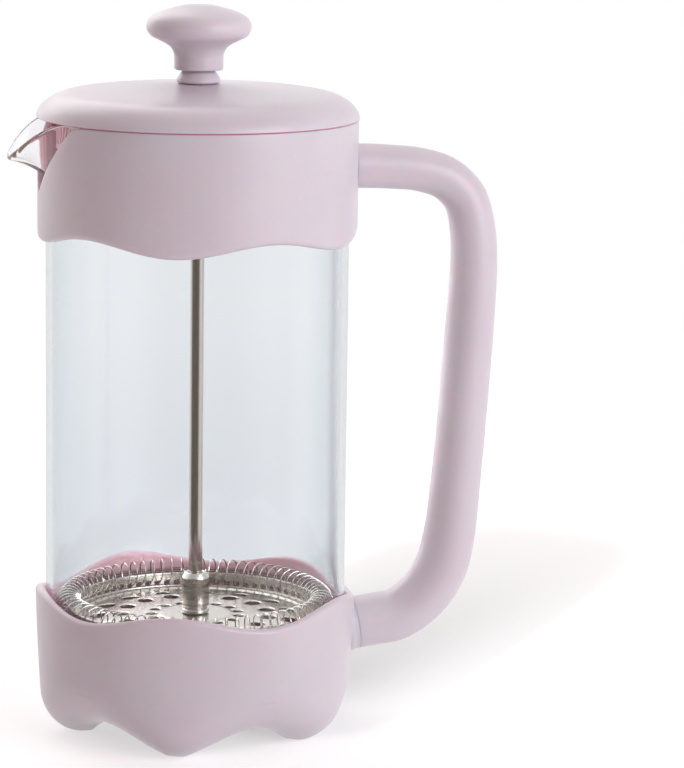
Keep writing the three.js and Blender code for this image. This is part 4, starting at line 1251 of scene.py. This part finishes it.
class PRESS_OT_screen(Piece, bpy.types.Operator):
    """Make the woven mesh screen and the cross plate that holds it"""

    bl_idname = "press.screen"
    bl_label = "Mesh screen and cross plate"

    def make(self, sizes):
        bore = sizes.rod_radius + sizes.gap
        low, lip, sheet = SCREEN_BOTTOM, sizes.screen_lip, sizes.screen_sheet
        inner, lip_top = lip - sheet, SPRING_TOP - sizes.spring_radius
        screen = turned("screen_weave", rounded([
            [bore, low + sheet / 2], [bore, low], [lip, low], [lip, lip_top], [inner, lip_top],
            [inner, low + sheet], [bore, low + sheet], [bore, low + sheet / 2 + 0.05 * MM],
        ], [0, 0, 1.2, 0.15, 0.15, 0.8, 0, 0]), 240)
        settle(screen, "plunger", "sheet_steel", "mesh_screen", look="woven_wire")
        cross = surface("spoke_plate", *self.cross_sheet(sizes), 50 * DEGREE)
        thickened(cross, sizes.cross_sheet, 50 * DEGREE)
        settle(cross, "plunger", "sheet_steel", "cross_plate")

    @staticmethod
    def cross_sheet(sizes):
        """Upper side of the cross plate: six sectors, each with a window whose outline is its sector's,
        drawn in by the width of rim, hub and half a spoke and rounded at the corners."""
        count, along, across = 6, 32, 24
        span = 2 * np.pi / count
        bore, rim, hub, spoke = sizes.rod_radius + sizes.gap, 3 * MM, 9 * MM, 4 * MM
        near, far = 6 * MM, sizes.cross_radius
        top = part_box("cross_plate")[1].z
        go = np.concatenate([1 - 2 * np.arange(along) / along, -1 + 0 * np.arange(across),
                             -1 + 2 * np.arange(along) / along, 1 + 0 * np.arange(across)])
        up = np.concatenate([-1 + 0 * np.arange(along), -1 + 2 * np.arange(across) / across,
                             1 + 0 * np.arange(along), 1 - 2 * np.arange(across) / across])
        shrink = (np.abs(go) ** 8 + np.abs(up) ** 8) ** (1 / 8)
        border_radius = near + (far - near) * (up + 1) / 2
        border_angle = go * span / 2
        window_radius = hub + (far - rim - hub) * (up / shrink + 1) / 2
        window_angle = go / shrink * (span / 2 - spoke / 2 / window_radius)
        shares = np.array([0, 0.15, 0.4, 0.7, 1])[:, None, None]
        inner_edge, border = polar(window_radius, window_angle), polar(border_radius, border_angle)
        x, y = np.moveaxis(inner_edge * (1 - shares) + border * shares, -1, 0)
        angle = span * np.arange(count)[:, None, None]
        sectors = polar(np.hypot(x, y), angle + np.arctan2(y, x), top) + [AXIS_X, 0, 0]
        faces = grid_faces(len(shares), x.shape[1], False, True)
        size = x.size
        joined = [faces + i * size for i in range(count)]
        turn = span * (np.arange(count * along) / along - 0.5)
        radius, turn = np.meshgrid(np.linspace(bore, near, 4), turn, indexing="ij")
        middle = polar(radius, turn, top) + [AXIS_X, 0, 0]
        joined.append(grid_faces(*radius.shape, False, True) + count * size)
        points = np.concatenate([sectors.reshape(-1, 3), middle.reshape(-1, 3)])
        return points, facing_up(points, np.concatenate(joined))


# Stage

DARK_SIDE = -37 * DEGREE  # azimuth of the room's dim side
DARK_LIGHT = (0.13, 0.11, 0.085, 1.0)  # what polished metal and glass show of it
WHITE = (1.0, 1.0, 1.0, 1.0)
SMOOTH = {"interpolation_type": "SMOOTHSTEP"}
TABLE_GLOW = 0.58  # light that the table gives off where it is seen, which keeps it white
# TABLE_LIGHT, SHADOW_LIGHT, SHADOW_WAY and SHADOW_SIDE set the painted soft shadow on the table
TABLE_LIGHT = 1.13  # of white, what glow and lamps together give the table behind the press
SHADOW_LIGHT = 0.694  # of white, the darkest part of the shadow there
SHADOW_WAY = (0.6, 0.8, 0.0)
SHADOW_SIDE = (0.8, -0.6, 0.0)


class PRESS_OT_stage(bpy.types.Operator):
    """Make the floor, the soft lamps and the camera"""

    bl_idname = "press.stage"
    bl_label = "Stage"

    def execute(self, context):
        self.floor()
        self.lamps()
        self.world()
        self.camera(context.scene.press_stage)
        context.scene.view_settings.view_transform = "Standard"
        return {"FINISHED"}

    @staticmethod
    def ray_kinds(tree):
        """Four numbers of 0 or 1: a ray that a surface has mirrored, one that a surface has scattered, one
        that came through glass, and one that was mirrored within a single wall of glass."""
        path = add(tree, "LightPath").node.outputs
        mirrored, scattered = (
            add(tree, "Math", (path[depth], 0.5), operation="GREATER_THAN")
            for depth in ("Glossy Depth", "Diffuse Depth")
        )
        within = add(tree, "Math", (path["Transmission Depth"], 1.5, 1.1), operation="COMPARE")
        return mirrored, scattered, path["Is Transmission Ray"], within

    @staticmethod
    def towards_dark(tree, vector, drop=0.0):
        """Cosine of the angle between a vector and the dim side of the room, which is front left and lies
        lower the larger the drop."""
        level, turn = math.cos(drop), DARK_SIDE
        side = (level * math.sin(turn), -level * math.cos(turn), -math.sin(drop))
        way = add(tree, "VectorMath", (vector,), operation="NORMALIZE")
        return add(tree, "VectorMath", (way, side), operation="DOT_PRODUCT")

    @staticmethod
    def softened(tree, dark, within):
        """The dim side counts less in what a wall of glass mirrors within itself."""
        keep = add(tree, "Math", (within, -0.75, 1.0), operation="MULTIPLY_ADD")
        return add(tree, "Math", (dark, keep), operation="MULTIPLY")

    @staticmethod
    def cast_shadow(tree, vector):
        """Share of the table's light that is left in a painted soft shadow behind the press to the right,
        which is drawn in the finish and doesn't follow the lamps. The shadow is a straight band from the
        press: it fades to both sides by a smooth step, and along its way with the power 1.5 of what is left
        of its length. A first step takes off what the table is lit beyond white there, a second one darkens
        it."""
        along, aside = (
            add(tree, "VectorMath", (vector, way), operation="DOT_PRODUCT")
            for way in (SHADOW_WAY, SHADOW_SIDE)
        )
        aside = add(tree, "Math", (aside,), operation="ABSOLUTE")
        rest = add(tree, "MapRange", (along, 0.08, 0.35, 1.0, 0.0))
        depth = add(tree, "Math", (rest, 1.5), operation="POWER")
        for value, start, end, first in ((along, -0.01, 0.06, 0.0), (aside, 0.015, 0.062, 1.0)):
            part = add(tree, "MapRange", (value, start, end, first, 1.0 - first), **SMOOTH)
            depth = add(tree, "Math", (depth, part), operation="MULTIPLY")
        steps = [
            add(tree, "MapRange", (depth, 0, end, 1.0, left))
            for end, left in ((0.06, 1 / TABLE_LIGHT), (1.0, SHADOW_LIGHT))
        ]
        return add(tree, "Math", (steps[0], steps[1]), operation="MULTIPLY")

    def floor(self):
        """A wide level floor. It is white where it is seen, apart from the press's shadows: those that the
        lamps cast near it and a painted soft shadow behind it to the right. Its dim side shows in polished
        metal."""
        radius = np.concatenate([[0], np.geomspace(0.05, 12, 40)])
        grid = around(turns(96), np.stack([radius, 0 * radius], axis=-1)[None])
        table = sheet_surface("floor", grid, True, False)
        made, tree, place = blank_material("matt_paper")
        fibre = add(tree, "TexNoise", {"Vector": place, "Scale": per_metre(3)})
        relief = add(tree, "Bump", {"Height": fibre, "Strength": 0.02, "Distance": 0.1 * MM})
        mirrored, scattered, through, within = self.ray_kinds(tree)
        middle = add(tree, "VectorMath", (place, (AXIS_X, 0.0, 0.0)), operation="SUBTRACT")
        away = add(tree, "VectorMath", (middle,), operation="LENGTH")
        far, out = (
            add(tree, "MapRange", (away, start, end), **SMOOTH)
            for start, end in ((0.35, 0.9), (0.06, 0.16))
        )
        near_tint, far_tint = (
            add(tree, "Mix", {"Factor": through, "A": WHITE, "B": tint(name)}, data_type="RGBA")
            for name in ("under_glass", "behind_glass")
        )
        # The painted shadow darkens both the table's glow and its diffuse colour
        near_tint = add(tree, "VectorMath", {
            0: near_tint, "Scale": self.cast_shadow(tree, middle),
        }, operation="SCALE")
        shadow = add(tree, "Mix", {
            "Factor": 1.0, "A": near_tint, "B": tint("floor_shadow"),
        }, data_type="RGBA", blend_type="MULTIPLY")
        shaded = add(tree, "BsdfDiffuse", {"Color": shadow, "Normal": relief})
        glow = add(tree, "Emission", {"Color": near_tint, "Strength": TABLE_GLOW})
        near = add(tree, "AddShader", (shaded, glow))
        plain = add(tree, "Emission", {"Color": far_tint, "Strength": 1.0})
        seen = add(tree, "MixShader", {"Fac": far, 1: near, 2: plain})
        dark = add(tree, "MapRange", (self.towards_dark(tree, middle), 0.05, 0.7), **SMOOTH)
        dark = add(tree, "Math", (dark, out), operation="MULTIPLY")
        shade = add(tree, "Mix", {
            "Factor": self.softened(tree, dark, within), "A": (0.95, 0.95, 0.95, 1.0), "B": DARK_LIGHT,
        }, data_type="RGBA")
        shown = add(tree, "Emission", {"Color": shade})
        seen = add(tree, "MixShader", {"Fac": mirrored, 1: seen, 2: shown})
        # What the press scatters comes from a plain sheet that is lifted a little
        paper = add(tree, "BsdfDiffuse", {"Color": tint("floor")})
        lift = add(tree, "Emission", {"Strength": 0.1})
        paper = add(tree, "AddShader", (paper, lift))
        both = add(tree, "MixShader", {"Fac": scattered, 1: seen, 2: paper})
        add(tree, "OutputMaterial", {"Surface": both})
        table.data.materials.append(made)

    @staticmethod
    def lamps():
        """Large soft boxes: the main one front right, two behind to the left and one above. A small one,
        which is not seen itself, stands behind the beaker and lights the inner side of the handle."""
        press, handle = Vector((AXIS_X, 0, 0.12)), Vector((0.07, 0, 0.11))
        # name, what it aims at, azimuth and elevation in degrees, distance and width in metres, watts, tint
        boxes = (
            ("right_softbox", press, 38, 18, 1.5, 1.0, 11.4, (0.96, 0.99, 1.03)),
            ("left_softbox", press, -146, 8, 1.6, 1.1, 3.0, (1.0, 1.0, 1.0)),
            ("back_softbox", press, -160, 38, 1.6, 1.1, 6.0, (1.0, 1.0, 1.0)),
            ("top_softbox", press, 150, 70, 1.5, 1.2, 3.2, (1.0, 1.0, 1.0)),
            ("handle_card", handle, -128, 0, 0.19, 0.1, 0.037, (1.0, 0.96, 0.97)),
        )
        for name, aim, azimuth, elevation, distance, wide, power, lamp_tint in boxes:
            a, e = azimuth * DEGREE, elevation * DEGREE
            lamp = bpy.data.lights.new(name, "AREA")
            lamp.shape, lamp.size, lamp.energy, lamp.color = "SQUARE", wide, power, lamp_tint
            stand = bpy.data.objects.new(name, lamp)
            if aim is handle:
                lamp.spread = 50 * DEGREE
                stand.visible_camera = stand.visible_glossy = stand.visible_transmission = False
            back = Vector((math.sin(a) * math.cos(e), -math.cos(a) * math.cos(e), math.sin(e)))
            stand.location = aim + back * distance
            stand.rotation_euler = (-back).to_track_quat("-Z", "Y").to_euler()
            bpy.context.scene.collection.objects.link(stand)

    def world(self):
        """A white room with a dim, slightly warm side at the front left. Polished metal shows that side
        nearly black; the camera, also through glass, sees plain white."""
        world = bpy.data.worlds.new("studio")
        bpy.context.scene.world = world
        world.use_nodes = True
        tree = world.node_tree
        tree.nodes.clear()
        way = add(tree, "TexCoord", output="Generated")
        mirrored, scattered, through, within = self.ray_kinds(tree)
        room = add(tree, "MapRange", (self.towards_dark(tree, way, -35 * DEGREE), -0.45, 0.55), **SMOOTH)
        light = add(tree, "Mix", {
            "Factor": room, "A": (0.49, 0.505, 0.525, 1.0), "B": (0.17, 0.095, 0.085, 1.0),
        }, data_type="RGBA")
        edge = add(tree, "MapRange", (self.towards_dark(tree, way, 30 * DEGREE), 0.1, 0.7), **SMOOTH)
        bright = add(tree, "VectorMath", (way, (-0.6, 0.72, 0.34)), operation="DOT_PRODUCT")
        bright = add(tree, "MapRange", (bright, 0.4, 0.95, 0.95, 1.6), **SMOOTH)
        edge = self.softened(tree, edge, within)
        shown = add(tree, "Mix", {"Factor": edge, "A": bright, "B": DARK_LIGHT}, data_type="RGBA")
        plain = add(tree, "Mix", {"Factor": through, "A": WHITE, "B": tint("behind_glass")}, data_type="RGBA")
        seen = add(tree, "Mix", {"Factor": mirrored, "A": plain, "B": shown}, data_type="RGBA")
        both = add(tree, "Mix", {"Factor": scattered, "A": seen, "B": light}, data_type="RGBA")
        back = add(tree, "Background", {"Color": both, "Strength": 1.0})
        add(tree, "OutputWorld", {"Surface": back})

    @staticmethod
    def camera(stage):
        """A camera that looks down and a little past the press, tilted by a small roll."""
        a, pitch, yaw, roll = stage.camera_azimuth, stage.camera_pitch, stage.camera_yaw, stage.camera_roll
        level = Vector((math.cos(a), math.sin(a), 0))
        away = Vector((-math.sin(a), math.cos(a), 0))
        ahead = away * math.cos(yaw) + level * math.sin(yaw)
        right = level * math.cos(yaw) - away * math.sin(yaw)
        forward = ahead * math.cos(pitch) - Vector((0, 0, math.sin(pitch)))
        upward = ahead * math.sin(pitch) + Vector((0, 0, math.cos(pitch)))
        rolled_right = right * math.cos(roll) + upward * math.sin(roll)
        rolled_up = upward * math.cos(roll) - right * math.sin(roll)
        data = bpy.data.cameras.new("camera")
        data.lens, data.sensor_width = stage.camera_lens, 36
        data.clip_start, data.clip_end = 0.05, 30
        camera = bpy.data.objects.new("camera", data)
        axes = Matrix((rolled_right, rolled_up, -forward)).transposed().to_4x4()
        axes.translation = Vector((AXIS_X, 0, stage.camera_height)) - away * stage.camera_distance
        camera.matrix_world = axes
        bpy.context.scene.collection.objects.link(camera)
        bpy.context.scene.camera = camera


class PRESS_PT_panel(bpy.types.Panel):
    """Buttons for the pieces of the press"""

    bl_idname = "PRESS_PT_panel"
    bl_label = "Coffee press"
    bl_space_type = "VIEW_3D"
    bl_region_type = "UI"
    bl_category = "Press"

    def draw(self, context):
        for operator in OPERATORS:
            self.layout.operator(operator.bl_idname)


OPERATORS = (
    PRESS_OT_stage, PRESS_OT_base, PRESS_OT_collar, PRESS_OT_handle, PRESS_OT_fasteners, PRESS_OT_beaker,
    PRESS_OT_lid, PRESS_OT_knob, PRESS_OT_rod, PRESS_OT_pan, PRESS_OT_spring, PRESS_OT_screen,
)
CLASSES = (PressSizes, PressColours, StageSettings, *OPERATORS, PRESS_PT_panel)


def register():
    for cls in CLASSES:
        bpy.utils.register_class(cls)
    bpy.types.Scene.press_sizes = bpy.props.PointerProperty(type=PressSizes)
    bpy.types.Scene.press_colours = bpy.props.PointerProperty(type=PressColours)
    bpy.types.Scene.press_stage = bpy.props.PointerProperty(type=StageSettings)


def unregister():
    for name in ("press_sizes", "press_colours", "press_stage"):
        delattr(bpy.types.Scene, name)
    for cls in reversed(CLASSES):
        bpy.utils.unregister_class(cls)


def main():
    """Makes every piece."""
    register()
    for operator in OPERATORS:
        group, name = operator.bl_idname.split(".")
        getattr(getattr(bpy.ops, group), name)()


if __name__ == "__main__":
    main()
